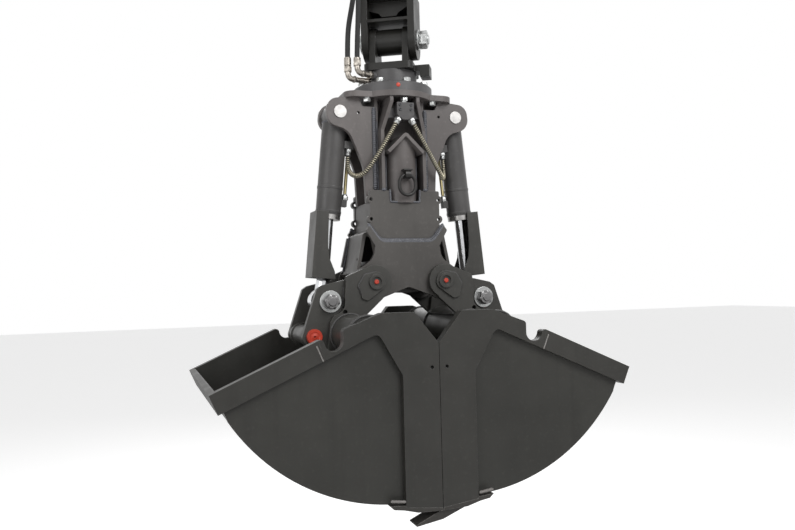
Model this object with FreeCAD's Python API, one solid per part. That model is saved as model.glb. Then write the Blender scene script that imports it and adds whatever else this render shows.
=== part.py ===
"""Hydraulic clamshell bucket hanging from a swivel head, one STEP file per piece.

Millimetres. Heights are written above the line of the shell pivots while the pieces
are made, and every piece is then lowered so that the origin is the hanger's upper bore.
+X runs along the closed bucket, +Y across it, +Z up. Left is -X, front is -Y.
"""
import FreeCAD, Part
import math
import os

# ---- overall sizes ----
SHELL_HALF_LENGTH = 700.0
SHELL_HALF_WIDTH = 376.0
SHELL_DEPTH = 682.0
BORE_HEIGHT = 1095.0
# ---- linkage, left side; the right side is the same turned half round ----
PIVOT_X = 126.0
ROD_PIN_X = 279.0
ROD_PIN_Z = -62.0
CYLINDER_PIN_X = 215.0
CYLINDER_PIN_Z = 588.0
SHELL_PIN_X = 336.0
SHELL_PIN_Z = -176.0
CROSS_TUBE_X = 219.0
CROSS_TUBE_Z = -170.0
# ---- plates ----
SIDE_PLATE = 12.0
CHEEK_PLATE = 20.0
WRAPPER_PLATE = 12.0
RIM_PLATE = 18.0
RIM_HEIGHT = 62.0
CROSS_PLATE = 16.0
UPPER_PLATE = 20.0
EAR_PLATE = 20.0
WEB_PLATE = 12.0
TOP_PLATE = 20.0
LEVER_CHEEK = 22.0
LEVER_ARM = 20.0
LUG_PLATE = 25.0
FLAG_PLATE = 7.0
HANGER_PLATE = 24.0
GUARD_SHEET = 5.0
# ---- pins, tubes and cylinders (radii) ----
PIVOT_PIN_R = 25.0
ROD_PIN_R = 15.0
SHELL_PIN_R = 20.0
CYLINDER_PIN_R = 22.0
HANGER_PIN_R = 22.0
UPPER_BORE_R = 25.0
CROSS_TUBE_R = 63.5
CROSS_TUBE_WALL = 10.0
BARREL_R = 44.0
BARREL_BORE_R = 35.0
ROD_R = 20.0
HUB_TUBE_R = 40.0
BUSH_WALL = 5.0
GUARD_TUBE_R = 54.0
FLANGE_R = 141.0
HOUSING_R = 88.0
# ---- clearances ----
RUNNING_FIT = 0.05
SIDE_CLEARANCE = 2.0
PARTING_GAP = 1.0
OPEN_PIVOT_CLEARANCE = 10.5
# ---- layers across the bucket, as half distances ----
UPPER_FACE = 104.0
CROSS_FACE = UPPER_FACE + CROSS_PLATE
ARM_INNER = CROSS_FACE + SIDE_CLEARANCE
ARM_OUTER = ARM_INNER + LEVER_ARM
CHEEK_INNER = ARM_INNER - LEVER_CHEEK
LUG_OUTER = CHEEK_INNER - SIDE_CLEARANCE
LUG_INNER = LUG_OUTER - LUG_PLATE
HUB_RECESS_Y = ARM_OUTER + FLAG_PLATE + 1.0
EAR_FACE = 66.0
EAR_INNER = EAR_FACE - EAR_PLATE
EYE_HALF = 27.0
CYLINDER_EYE_HALF = EAR_INNER - 2 * SIDE_CLEARANCE
SHELL_SIDE_OUTER = SHELL_HALF_WIDTH - CHEEK_PLATE
SHELL_SIDE_INNER = SHELL_SIDE_OUTER - SIDE_PLATE
# ---- shell profile ----
RIM_TOP_Z = -310.0
RIM_SLOPE = 23.7
BUMP_X = 383.0
ARC_BOTTOM_X = 112.0
WRAPPER_END_X = 174.0
PARTING_BOTTOM_Z = -693.0
KNIFE_TIP_Z = -712.0
TOP_EDGE_Z = -97.0
VALLEY_Z = -195.0
NOTCH_R = 29.0
SIGHT_HOLE_R = 6.0
# ---- frame and head heights ----
FRAME_TOP_Z = 658.0
MAST_HALF = 92.0
COLUMN_HALF = 127.0
COLUMN_TOP_Z = 314.0
MAST_FOOT_Z = COLUMN_TOP_Z - 40.0
FLANGE_HEIGHT = 32.0
HOUSING_HEIGHT = 55.0
PORT_BOSS_REACH = 96.0
HEAD_PLATE_HEIGHT = 25.0
HANGER_PIN_Z = 865.0
HANGER_YAW = -30.0
HEAD_EAR_GAP = 96.0
HEAD_EAR = 22.0
HANGER_HALF_DEPTH = 70.0
LUG_DEPTH = 30.0
CROWN_Z = BORE_HEIGHT - 92.0
CROWN_TOP_Z = BORE_HEIGHT - 68.0
# ---- hoses ----
GUARDED_HOSE_R = 8.0
FEED_HOSE_R = 9.0
PIPE_R = 6.0
SOCKET_R = GUARDED_HOSE_R + 2.5
SOCKET_LENGTH = 24.0

SADDLE_R = CROSS_TUBE_R + 0.5
FRAME_SWEEP_R = 76.0
EYE_R = 44.0
BARREL_END = 362.0
GLAND_LENGTH = 34.0
PORT_FOOT = -118.0
PIPE_FOOT = -294.0
HOSE_PORT_X = 50.0
HOSE_PORT_Y = 22.0

NOTCH_FLOOR_Z = COLUMN_TOP_Z - 42.0
COLUMN_HOLE_X = COLUMN_HALF - 3.0
COLUMN_HOLE_Z = (283.0, 215.0)
COLUMN_HOLE_R = 6.0
LOBE_R = 14.0
WAIST_X = 174.0
WAIST_Z = 110.0
WAIST_R = 54.0
COLUMN_WEB_X = 125.0
POST_OUTER = 82.0
POST_TOP_Z = 525.0
CHEEK_OUTER = 54.0
CHEEK_KNEE_Z = 621.0
CHEEK_FRONT = 128.0
GUARD_TUBE_Y = -62.0
GUARD_TUBE_TOP_Z = 505.0
TUBE_FRONT = GUARD_TUBE_Y - GUARD_TUBE_R
RING_Y = TUBE_FRONT - 16.0
RING_PIVOT_Z = 366.0
RING_BAR_R = 6.0
RING_HALF = 29.0
RING_STRAIGHT = 12.0
LUG_HALF = 10.0
LUG_BORE_R = 8.8
ROOF_APEX_Z = 516.0
ROOF_EAVE_Z = 448.0
ROOF_HALF = 68.0
ROOF_SHEET = 8.0

FLANGE_TOP_Z = FRAME_TOP_Z + FLANGE_HEIGHT
HOUSING_TOP_Z = FLANGE_TOP_Z + 1.0 + HOUSING_HEIGHT
HEAD_TOP_Z = HOUSING_TOP_Z + HEAD_PLATE_HEIGHT
EAR_OUTER = HEAD_EAR_GAP / 2 + HEAD_EAR
HANGER_INNER = EAR_OUTER + SIDE_CLEARANCE
HANGER_OUTER = HANGER_INNER + HANGER_PLATE
TAB_END = 140.0

X_AXIS = FreeCAD.Vector(1, 0, 0)
Y_AXIS = FreeCAD.Vector(0, 1, 0)
Z_AXIS = FreeCAD.Vector(0, 0, 1)
ORIGIN = FreeCAD.Vector(0, 0, 0)
REACH = 2000.0


def vec(x, y, z):
    return FreeCAD.Vector(x, y, z)


def rounded_wire(corners, y):
    """Closed wire in the plane Y = y through corners (x, z, fillet radius)."""
    points = [vec(c[0], y, c[1]) for c in corners]
    starts = []
    ends = []
    for i, corner in enumerate(corners):
        here = points[i]
        back = points[i - 1].sub(here)
        ahead = points[(i + 1) % len(points)].sub(here)
        back.normalize()
        ahead.normalize()
        half = back.getAngle(ahead) / 2
        reach = corner[2] / math.tan(half) if corner[2] else 0.0
        starts.append(here + back * reach)
        ends.append(here + ahead * reach)
    edges = []
    for i, corner in enumerate(corners):
        following = (i + 1) % len(corners)
        if corner[2]:
            edges.append(fillet_arc(starts[i], points[i], ends[i], corner[2]))
        if ends[i].distanceToPoint(starts[following]) > 1e-6:
            edges.append(Part.LineSegment(ends[i], starts[following]).toShape())
    return Part.Wire(edges)


def fillet_arc(start, corner, end, radius):
    """Tangent arc of the given radius between two points beside a corner."""
    inward = (start + end) * 0.5 - corner
    inward.normalize()
    half = (start - corner).getAngle(end - corner) / 2
    middle = corner + inward * (radius / math.sin(half) - radius)
    return Part.Arc(start, middle, end).toShape()


def plate(corners, y0, y1):
    """Plate of a rounded outline in XZ, from Y = y0 to Y = y1."""
    face = Part.Face(rounded_wire(corners, y0))
    return face.extrude(vec(0, y1 - y0, 0))


def rod_y(x, z, radius, y0, y1):
    return Part.makeCylinder(radius, y1 - y0, vec(x, y0, z), Y_AXIS)


def rod_z(x, y, radius, z0, z1):
    return Part.makeCylinder(radius, z1 - z0, vec(x, y, z0), Z_AXIS)


def block(x0, x1, y0, y1, z0, z1):
    return Part.makeBox(x1 - x0, y1 - y0, z1 - z0, vec(x0, y0, z0))


def fused(shapes):
    body = shapes[0]
    for shape in shapes[1:]:
        body = body.fuse(shape)
    return body.removeSplitter()


def mirrored_y(shape):
    return shape.mirror(ORIGIN, Y_AXIS)


def mirrored_x(shape):
    return shape.mirror(ORIGIN, X_AXIS)


def half_turn(shape):
    turned = shape.copy()
    turned.rotate(ORIGIN, Z_AXIS, 180)
    return turned


def front_and_rear(shape):
    return Part.makeCompound([shape, mirrored_y(shape)])


def hull_plate(x0, z0, r0, x1, z1, r1, y0, y1):
    """Plate bounded by two circles and their outer tangents."""
    distance = math.hypot(x1 - x0, z1 - z0)
    along = math.atan2(z1 - z0, x1 - x0)
    spread = math.acos((r0 - r1) / distance)
    a, b = along + spread, along - spread
    corners = [(x0 + r0 * math.cos(a), z0 + r0 * math.sin(a), 0),
               (x1 + r1 * math.cos(a), z1 + r1 * math.sin(a), 0),
               (x1 + r1 * math.cos(b), z1 + r1 * math.sin(b), 0),
               (x0 + r0 * math.cos(b), z0 + r0 * math.sin(b), 0)]
    ends = [rod_y(x0, z0, r0, y0, y1), rod_y(x1, z1, r1, y0, y1)]
    return fused([plate(corners, y0, y1)] + ends)


# ================= shell =================

def rim_line_z(x):
    """Height of the rim's sloping top line at -x, left side."""
    return RIM_TOP_Z + (SHELL_HALF_LENGTH - x) * math.tan(math.radians(RIM_SLOPE))


def rim_corner(inset, drop):
    """Point on the rim's outer end: inset along the slope, drop square to it."""
    slope = math.radians(RIM_SLOPE)
    x = -SHELL_HALF_LENGTH + inset * math.cos(slope) + drop * math.sin(slope)
    z = RIM_TOP_Z + inset * math.sin(slope) - drop * math.cos(slope)
    return x, z


def wrapper_circle():
    """Centre height and radius of the curved back: through the rim, flat at the bottom."""
    x, z = rim_corner(RIM_PLATE - 6.0, RIM_HEIGHT)
    across = x + ARC_BOTTOM_X
    rise = z + SHELL_DEPTH
    radius = (across ** 2 + rise ** 2) / (2 * rise)
    return radius - SHELL_DEPTH, radius


def bowl_region(inset, y0, y1):
    """Everything inside the curved back and its straight run to the parting face."""
    centre_z, full = wrapper_circle()
    radius = full - inset
    end_x = -WRAPPER_END_X
    end_z = centre_z - math.sqrt(radius ** 2 - (end_x + ARC_BOTTOM_X) ** 2)
    start_x = -ARC_BOTTOM_X - radius
    turn = math.radians(215)
    middle = vec(-ARC_BOTTOM_X + radius * math.cos(turn), y0, centre_z + radius * math.sin(turn))
    start = vec(start_x, y0, centre_z)
    end = vec(end_x, y0, end_z)
    parting = vec(-PARTING_GAP, y0, PARTING_BOTTOM_Z + inset)
    top_in = vec(-PARTING_GAP, y0, REACH)
    top_out = vec(start_x, y0, REACH)
    edges = [Part.Arc(start, middle, end).toShape()]
    path = [end, parting, top_in, top_out, start]
    for first, second in zip(path, path[1:]):
        edges.append(Part.LineSegment(first, second).toShape())
    return Part.Face(Part.Wire(edges)).extrude(vec(0, y1 - y0, 0))


def shell_top_corners():
    """Top line from the parting valley over the pin notch to the rim."""
    notch_in = SHELL_PIN_X - NOTCH_R
    notch_out = SHELL_PIN_X + NOTCH_R
    floor = SHELL_PIN_Z - NOTCH_R
    return [(-PARTING_GAP, VALLEY_Z, 0),
            (-80.0, TOP_EDGE_Z, 6.0),
            (-187.0, TOP_EDGE_Z, 12.0),
            (-notch_in, TOP_EDGE_Z - 44.0, 12.0),
            (-notch_in, floor, NOTCH_R - 0.5),
            (-notch_out, floor, NOTCH_R - 0.5),
            (-notch_out, rim_line_z(notch_out), 12.0)]


def left_shell_sides():
    outline = shell_top_corners()
    outline += [(*rim_corner(RIM_PLATE, 0), 0), (*rim_corner(RIM_PLATE, RIM_HEIGHT + 30), 0)]
    outline += [(-SHELL_HALF_LENGTH, -REACH, 0), (-PARTING_GAP, -REACH, 0)]
    side = plate(outline, -SHELL_SIDE_OUTER, -SHELL_SIDE_INNER)
    side = side.common(bowl_region(0, -SHELL_HALF_WIDTH, 0))
    side = side.cut(sight_hole())
    return front_and_rear(side)


def sight_hole():
    return rod_y(-25.0, -270.0, SIGHT_HOLE_R, -SHELL_HALF_WIDTH - 1, -SHELL_SIDE_INNER + 1)


def left_wrapper():
    half = SHELL_SIDE_INNER
    strip = bowl_region(1.0, -half, half).cut(bowl_region(1.0 + WRAPPER_PLATE, -half, half))
    keep = plate([(*rim_corner(RIM_PLATE, 2.0), 0), (-PARTING_GAP, RIM_TOP_Z + 200.0, 0),
                  (-PARTING_GAP, -REACH, 0), (*rim_corner(RIM_PLATE, REACH), 0)], -half, half)
    return strip.common(keep)


def left_rim_frame():
    """U of flat bar round the open rim: two long bars and the outer end bar."""
    seam_top = (-BUMP_X, rim_line_z(BUMP_X), 0)
    slope = math.radians(RIM_SLOPE)
    seam_low = (-BUMP_X + RIM_HEIGHT * math.sin(slope) - 7.0,
                rim_line_z(BUMP_X) - RIM_HEIGHT * math.cos(slope) - 3.0, 0)
    bar = plate([(*rim_corner(0, 0), 0), seam_top, seam_low, (*rim_corner(0, RIM_HEIGHT), 0)],
                -SHELL_HALF_WIDTH, -SHELL_SIDE_OUTER)
    end = plate([(*rim_corner(0, 0), 0), (*rim_corner(RIM_PLATE, 0), 0),
                 (*rim_corner(RIM_PLATE, RIM_HEIGHT), 0), (*rim_corner(0, RIM_HEIGHT), 0)],
                -SHELL_HALF_WIDTH, SHELL_HALF_WIDTH)
    return fused([end, bar, mirrored_y(bar)])


def cheek_corners():
    slope = math.radians(RIM_SLOPE)
    low_x = -BUMP_X + RIM_HEIGHT * math.sin(slope) - 7.0
    low_z = rim_line_z(BUMP_X) - RIM_HEIGHT * math.cos(slope) - 3.0
    corner_x = -197.0
    corner_z = low_z + (corner_x - low_x) * math.tan(slope)
    outline = shell_top_corners()
    outline[-1] = (outline[-1][0], outline[-1][1], 12.0)
    outline += [(-BUMP_X, rim_line_z(BUMP_X), 0), (low_x, low_z, 0)]
    outline += [(corner_x, corner_z, 22.0), (-121.0, -289.0, 30.0)]
    outline += [(-121.0, PARTING_BOTTOM_Z + 4.0, 0), (-PARTING_GAP, PARTING_BOTTOM_Z - 10.0, 0)]
    return outline


def left_cheek_plates():
    cheek = plate(cheek_corners(), -SHELL_HALF_WIDTH, -SHELL_SIDE_OUTER)
    return front_and_rear(cheek.cut(sight_hole()))


def left_knife_bar():
    """Cutting edge under the curved back, full width, with its bevelled lip."""
    outline = [(-WRAPPER_END_X, PARTING_BOTTOM_Z + 14.0, 0), (-160.0, PARTING_BOTTOM_Z + 1.0, 0),
               (-127.0, PARTING_BOTTOM_Z - 4.0, 0), (-82.0, KNIFE_TIP_Z + 3.0, 0),
               (-PARTING_GAP, KNIFE_TIP_Z, 0), (-PARTING_GAP, -600.0, 0), (-WRAPPER_END_X, -600.0, 0)]
    bar = plate(outline, -SHELL_HALF_WIDTH, SHELL_HALF_WIDTH)
    bar = bar.cut(bowl_region(0, -SHELL_HALF_WIDTH - 1, SHELL_HALF_WIDTH + 1))
    return bar.cut(left_cheek_plates())


def left_guide_tooth():
    """Wedge on the rear end of the left knife that reaches under the right shell."""
    outline = [(12.0, KNIFE_TIP_Z - 5.0, 0), (106.0, KNIFE_TIP_Z - 46.0, 3.0),
               (-3.0, KNIFE_TIP_Z - 29.0, 6.0), (-101.0, KNIFE_TIP_Z + 9.0, 0), (-101.0, -690.0, 0)]
    outline += [(-PARTING_GAP, -690.0, 0), (-PARTING_GAP, KNIFE_TIP_Z - 3.0, 0)]
    tooth = plate(outline, SHELL_HALF_WIDTH - 70.0, SHELL_HALF_WIDTH - 10.0)
    tooth = tooth.cut(left_knife_bar()).cut(left_cheek_plates())
    return tooth.cut(bowl_region(0, 0, SHELL_HALF_WIDTH))


def left_knife():
    return Part.makeCompound([left_knife_bar(), left_guide_tooth()])


def left_cross_tube():
    """Tube between the side plates, with the two pin lugs and their spacer tube."""
    half = SHELL_SIDE_INNER
    core = rod_y(-CROSS_TUBE_X, CROSS_TUBE_Z, CROSS_TUBE_R, -half, half)
    bore = rod_y(-CROSS_TUBE_X, CROSS_TUBE_Z, CROSS_TUBE_R - CROSS_TUBE_WALL, -half, half)
    lug = hull_plate(-SHELL_PIN_X, SHELL_PIN_Z, SHELL_PIN_R + 18.0,
                     -CROSS_TUBE_X, CROSS_TUBE_Z, 50.0, -LUG_OUTER, -LUG_INNER)
    spacer = rod_y(-SHELL_PIN_X, SHELL_PIN_Z, SHELL_PIN_R + 14.0, -LUG_OUTER, LUG_OUTER)
    body = fused([core, lug, mirrored_y(lug), spacer])
    pin_bore = rod_y(-SHELL_PIN_X, SHELL_PIN_Z, SHELL_PIN_R, -LUG_OUTER, LUG_OUTER)
    return body.cut(bore).cut(pin_bore)


# ================= lever =================


def lever_cheek():
    """Inner lever plate: rod pin above, hooked over the cross tube, shell pin outside."""
    outline = [(-324.0, -20.0, 8.0), (-306.0, -8.0, 8.0), (-205.0, 14.0, 0), (-172.0, -60.0, 0),
               (-166.0, -118.0, 0), (-180.0, -150.0, 0), (-300.0, -222.0, 0), (-345.0, -222.0, 20.0),
               (-378.0, -182.0, 20.0)]
    cheek = plate(outline, -ARM_INNER, -CHEEK_INNER)
    cheek = cheek.cut(rod_y(-PIVOT_X, 0, FRAME_SWEEP_R, -ARM_INNER, -CHEEK_INNER))
    return cheek


def lever_saddle():
    """Saddle plate over the cross tube between the lever cheeks, relieved under the rod eye."""
    outer = rod_y(-CROSS_TUBE_X, CROSS_TUBE_Z, SADDLE_R + WEB_PLATE, -CHEEK_INNER, CHEEK_INNER)
    sector = plate([(-CROSS_TUBE_X, CROSS_TUBE_Z, 0), (-CROSS_TUBE_X + 120.0, CROSS_TUBE_Z + 110.0, 0),
                    (-CROSS_TUBE_X, CROSS_TUBE_Z + 130.0, 0), (-CROSS_TUBE_X - 100.0, CROSS_TUBE_Z + 125.0, 0)],
                   -CHEEK_INNER, CHEEK_INNER)
    relief = rod_y(-ROD_PIN_X, ROD_PIN_Z, EYE_R + OPEN_PIVOT_CLEARANCE + 1.0, -EYE_HALF - 8, EYE_HALF + 8)
    return outer.common(sector).cut(relief)


def left_lever_body():
    cheek = lever_cheek()
    body = fused([cheek, mirrored_y(cheek), lever_saddle()])
    body = body.cut(rod_y(-CROSS_TUBE_X, CROSS_TUBE_Z, SADDLE_R, -ARM_INNER, ARM_INNER))
    body = body.cut(rod_y(-ROD_PIN_X, ROD_PIN_Z, ROD_PIN_R, -ARM_INNER, ARM_INNER))
    return body.cut(rod_y(-SHELL_PIN_X, SHELL_PIN_Z, SHELL_PIN_R, -ARM_INNER, ARM_INNER))


def left_lever_arms():
    """Outer arm plates: round end on the pivot pin, cut clear of the rod pin washer."""
    outline = [(-142.0, 56.0, 30.0), (-228.0, 20.0, 6.0), (-234.0, -44.0, 0), (-236.0, -84.0, 0),
               (-264.0, -92.0, 0), (-284.0, -127.0, 20.0), (-296.0, -222.0, 4.0), (-250.0, -222.0, 0),
               (-172.0, -120.0, 0), (-88.0, -44.0, 30.0)]
    arm = plate(outline, -ARM_OUTER, -ARM_INNER)
    arm = fused([arm, rod_y(-PIVOT_X, 0, 57.0, -ARM_OUTER, -ARM_INNER)])
    arm = arm.cut(rod_y(-ROD_PIN_X, ROD_PIN_Z, 46.0, -ARM_OUTER, -ARM_INNER))
    arm = arm.cut(rod_y(-234.0, -98.0, 8.0, -ARM_OUTER, -ARM_INNER))
    arm = arm.cut(rod_y(-CROSS_TUBE_X, CROSS_TUBE_Z, SADDLE_R, -ARM_OUTER, -ARM_INNER))
    return front_and_rear(arm.cut(rod_y(-PIVOT_X, 0, PIVOT_PIN_R, -ARM_OUTER, -ARM_INNER)))


def hexagon(x, z, flats, y0, y1):
    radius = flats / math.sqrt(3)
    corners = []
    for i in range(6):
        angle = math.radians(60 * i)
        corners.append((x + radius * math.cos(angle), z + radius * math.sin(angle), 0))
    return plate(corners, y0, y1)


def left_rod_bolt():
    """Rod pin: bolt with spacer tubes beside the rod eye, a washer and nut at each end."""
    bolt = rod_y(-ROD_PIN_X, ROD_PIN_Z, ROD_PIN_R, -ARM_INNER - 34.0, ARM_INNER + 34.0)
    ring = EYE_HALF + SIDE_CLEARANCE
    spacer = rod_y(-ROD_PIN_X, ROD_PIN_Z, 28.0, -CHEEK_INNER, -ring)
    washer = rod_y(-ROD_PIN_X, ROD_PIN_Z, 37.0, -ARM_INNER - 6.0, -ARM_INNER)
    nut = hexagon(-ROD_PIN_X, ROD_PIN_Z, 46.0, -ARM_INNER - 30.0, -ARM_INNER - 6.0)
    return fused([bolt, spacer, mirrored_y(spacer), washer, mirrored_y(washer), nut, mirrored_y(nut)])


def left_shell_pin():
    """Shell pin with a collar at each end, flush under its caps."""
    pin = rod_y(-SHELL_PIN_X, SHELL_PIN_Z, SHELL_PIN_R, -ARM_INNER - 4.0, ARM_INNER + 4.0)
    return pin


def left_pin_caps():
    """Coloured caps: over the shell pin's ends and the grease nipples of the pivot pin."""
    cap = rod_y(-SHELL_PIN_X, SHELL_PIN_Z, 26.0, -ARM_INNER - 12.0, -ARM_INNER)
    cap = cap.cut(rod_y(-SHELL_PIN_X, SHELL_PIN_Z, SHELL_PIN_R, -ARM_INNER - 4.0, -ARM_INNER))
    cap = cap.cut(rod_y(-SHELL_PIN_X, SHELL_PIN_Z, 4.0, -ARM_INNER - 12.0, -ARM_INNER - 7.0))
    nipple = rod_y(-PIVOT_X, 0, 8.0, -HUB_RECESS_Y - 5.0, -HUB_RECESS_Y)
    return Part.makeCompound([cap, mirrored_y(cap), nipple, mirrored_y(nipple)])


def left_hub_pin():
    """Pivot pin with its flag plate in front, a like plate behind, and raised end rings."""
    pin = rod_y(-PIVOT_X, 0, PIVOT_PIN_R, -ARM_OUTER, ARM_OUTER)
    boss = rod_y(-PIVOT_X, 0, PIVOT_PIN_R + 1.0, -HUB_RECESS_Y - 6.0, -ARM_OUTER - FLAG_PLATE)
    boss = boss.cut(rod_y(-PIVOT_X, 0, PIVOT_PIN_R - 8.0, -HUB_RECESS_Y - 6.0, -HUB_RECESS_Y))
    outline = [(-PIVOT_X + 6.0, 33.0, 20.0), (-PIVOT_X - 38.0, 26.0, 10.0), (-PIVOT_X - 60.0, -12.0, 9.0),
               (-PIVOT_X - 50.0, -56.0, 9.0), (-PIVOT_X - 30.0, -62.0, 9.0), (-PIVOT_X + 14.0, -32.0, 16.0)]
    flag = plate(outline, -ARM_OUTER - FLAG_PLATE, -ARM_OUTER)
    flag = flag.fuse(rod_y(-PIVOT_X, 0, 34.0, -ARM_OUTER - FLAG_PLATE, -ARM_OUTER))
    return fused([pin, boss, flag, mirrored_y(boss), mirrored_y(flag)])


# ================= cylinder =================


def cylinder_frame():
    """Upper pin, unit vector down the left cylinder, and its pin to pin length."""
    top = vec(-CYLINDER_PIN_X, 0, CYLINDER_PIN_Z)
    foot = vec(-ROD_PIN_X, 0, ROD_PIN_Z)
    down = foot - top
    length = down.Length
    down.normalize()
    return top, down, length


def onto_cylinder(shape):
    """Place a shape made along -Z from the origin onto the left cylinder's axis."""
    top, down, length = cylinder_frame()
    placed = shape.copy()
    placed.rotate(ORIGIN, Y_AXIS, math.degrees(math.atan2(-down.x, -down.z)))
    placed.translate(top)
    return placed


def cylinder_point(x, y, z):
    """World point of a place given in the left cylinder's own axes, z from its upper pin."""
    spot = onto_cylinder(Part.Vertex(vec(x, y, z)))
    return spot.Point


def left_cylinder_barrel():
    """Barrel with its eye, bands, port blocks on the inner side and an open bore."""
    mouth = -BARREL_END + 10.0
    barrel = rod_z(0, 0, BARREL_R, mouth, -24.0)
    barrel = barrel.makeChamfer(6.0, [e for e in barrel.Edges if abs(e.CenterOfMass.z + 24.0) < 1 and e.Closed])
    eye = rod_y(0, 0, 42.0, -CYLINDER_EYE_HALF, CYLINDER_EYE_HALF)
    band = rod_z(0, 0, BARREL_R + 1.2, -262.0, -254.0)
    lower_band = rod_z(0, 0, BARREL_R + 1.2, mouth + 6.0, mouth + 14.0)
    port = block(BARREL_R - 12.0, BARREL_R + 20.0, -36.0, 18.0, PORT_FOOT, PORT_FOOT + 26.0)
    socket = rod_z(HOSE_PORT_X, -HOSE_PORT_Y, SOCKET_R, PORT_FOOT - SOCKET_LENGTH, PORT_FOOT)
    low_port = block(BARREL_R - 12.0, BARREL_R + 18.0, -10.0, 14.0, PIPE_FOOT - 24.0, PIPE_FOOT)
    body = fused([barrel, eye, band, lower_band, port, socket, low_port])
    body = body.cut(rod_z(0, 0, BARREL_BORE_R, -BARREL_END, -52.0))
    return onto_cylinder(body.cut(rod_y(0, 0, CYLINDER_PIN_R + RUNNING_FIT, -60.0, 60.0)))


def left_cylinder_gland():
    """Gland nut screwed into the barrel's mouth, with the rod's running bore."""
    top = -BARREL_END + 10.0
    nut = rod_z(0, 0, BARREL_R - 1.0, top - GLAND_LENGTH / 2, top)
    neck = rod_z(0, 0, BARREL_BORE_R, top, top + GLAND_LENGTH)
    body = fused([nut, neck])
    return onto_cylinder(body.cut(rod_z(0, 0, ROD_R + RUNNING_FIT, top - 40.0, top + 60.0)))


def left_piston_rod():
    """Rod with its piston inside the barrel and the eye on the rod pin."""
    top, down, length = cylinder_frame()
    rod = rod_z(0, 0, ROD_R, -length + 30.0, -230.0)
    piston = rod_z(0, 0, BARREL_BORE_R - RUNNING_FIT, -286.0, -240.0)
    eye = rod_y(0, -length, EYE_R, -EYE_HALF, EYE_HALF)
    neck = Part.makeCone(ROD_R + 8.0, ROD_R + 3.0, 44.0, vec(0, 0, -length + 34.0), Z_AXIS)
    body = fused([rod, piston, eye, neck])
    return onto_cylinder(body.cut(rod_y(0, -length, ROD_PIN_R + OPEN_PIVOT_CLEARANCE, -60.0, 60.0)))


def left_rod_guard():
    """Channel of folded sheet that covers the rod's outer side and rides on the rod's foot."""
    top, down, length = cylinder_frame()
    foot = -length + 78.0
    crown = -345.0
    inner = BARREL_R + 3.0
    outer = inner + GUARD_SHEET
    wall = block(-outer, -inner, -outer, outer, foot, crown)
    wing = plate([(-outer, foot, 0), (30.0, foot, 0), (26.0, foot + 26.0, 8.0), (4.0, foot + 70.0, 20.0),
                  (-4.0, foot + 110.0, 20.0), (-10.0, crown, 3.0), (-outer, crown, 0)], -outer, -inner)
    floor = block(-outer, 30.0, -outer, outer, foot, foot + 8.0)
    floor = floor.cut(rod_z(0, 0, ROD_R, foot - 1, foot + 9.0))
    return onto_cylinder(fused([wall, wing, mirrored_y(wing), floor]))


def left_oil_pipe():
    """Steel pipe down the barrel's inner side from the port block to the lower port."""
    x = BARREL_R + 11.0
    y = 2.0
    pipe = rod_z(x, y, PIPE_R, PIPE_FOOT, PORT_FOOT)
    nuts = [rod_z(x, y, PIPE_R + 4.0, PIPE_FOOT, PIPE_FOOT + 14.0),
            rod_z(x, y, PIPE_R + 4.0, PORT_FOOT - 14.0, PORT_FOOT)]
    return onto_cylinder(fused([pipe] + nuts))


# ================= frame =================

def front_upper_plate():
    """Upper plate of the waist, notched at the top for the guard tube, with a holed lobe by each edge."""
    low = 70.0
    outline = [(-COLUMN_HALF, COLUMN_TOP_Z, 6.0), (-GUARD_TUBE_R, COLUMN_TOP_Z, 0),
               (-GUARD_TUBE_R, NOTCH_FLOOR_Z, 6.0), (GUARD_TUBE_R, NOTCH_FLOOR_Z, 6.0),
               (GUARD_TUBE_R, COLUMN_TOP_Z, 0), (COLUMN_HALF, COLUMN_TOP_Z, 6.0),
               (COLUMN_HALF, 170.0, 0), (110.0, low, 30.0), (-110.0, low, 30.0), (-COLUMN_HALF, 170.0, 0)]
    inner = -UPPER_FACE + UPPER_PLATE
    body = plate(outline, -UPPER_FACE, inner)
    places = [(side * COLUMN_HOLE_X, z) for side in (-1, 1) for z in COLUMN_HOLE_Z]
    for x, z in places:
        body = body.fuse(rod_y(x, z, LOBE_R, -UPPER_FACE, inner))
    for x, z in places:
        body = body.cut(rod_y(x, z, COLUMN_HOLE_R, -UPPER_FACE, inner))
    for side in (-1, 1):
        body = body.cut(rod_y(side * WAIST_X, WAIST_Z, WAIST_R, -UPPER_FACE, inner))
    return body.removeSplitter()


def front_cross_plate():
    """Waisted plate with a dished top edge and two legs that end round on the pivots."""
    outline = [(-136.0, 192.0, 4.0), (-96.0, 134.0, 36.0), (96.0, 134.0, 36.0), (136.0, 192.0, 4.0),
               (148.0, 176.0, 4.0), (117.0, 120.0, 0), (150.0, 58.0, 0), (171.0, 45.0, 0),
               (PIVOT_X + 30.0, -40.0, 0), (88.0, -52.0, 20.0), (0, -19.0, 30.0), (-88.0, -52.0, 20.0),
               (-PIVOT_X - 30.0, -40.0, 0), (-171.0, 45.0, 0), (-150.0, 58.0, 0), (-117.0, 120.0, 0),
               (-148.0, 176.0, 4.0)]
    body = plate(outline, -CROSS_FACE, -UPPER_FACE)
    for side in (-1, 1):
        body = body.fuse(rod_y(side * PIVOT_X, 0, 64.0, -CROSS_FACE, -UPPER_FACE))
        body = body.cut(rod_y(side * WAIST_X, WAIST_Z, WAIST_R, -CROSS_FACE, -UPPER_FACE))
    body = body.fuse(front_upper_plate())
    for side in (-1, 1):
        body = body.cut(rod_y(side * PIVOT_X, 0, HUB_TUBE_R, -CROSS_FACE, -UPPER_FACE + UPPER_PLATE))
    return body.removeSplitter()


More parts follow.
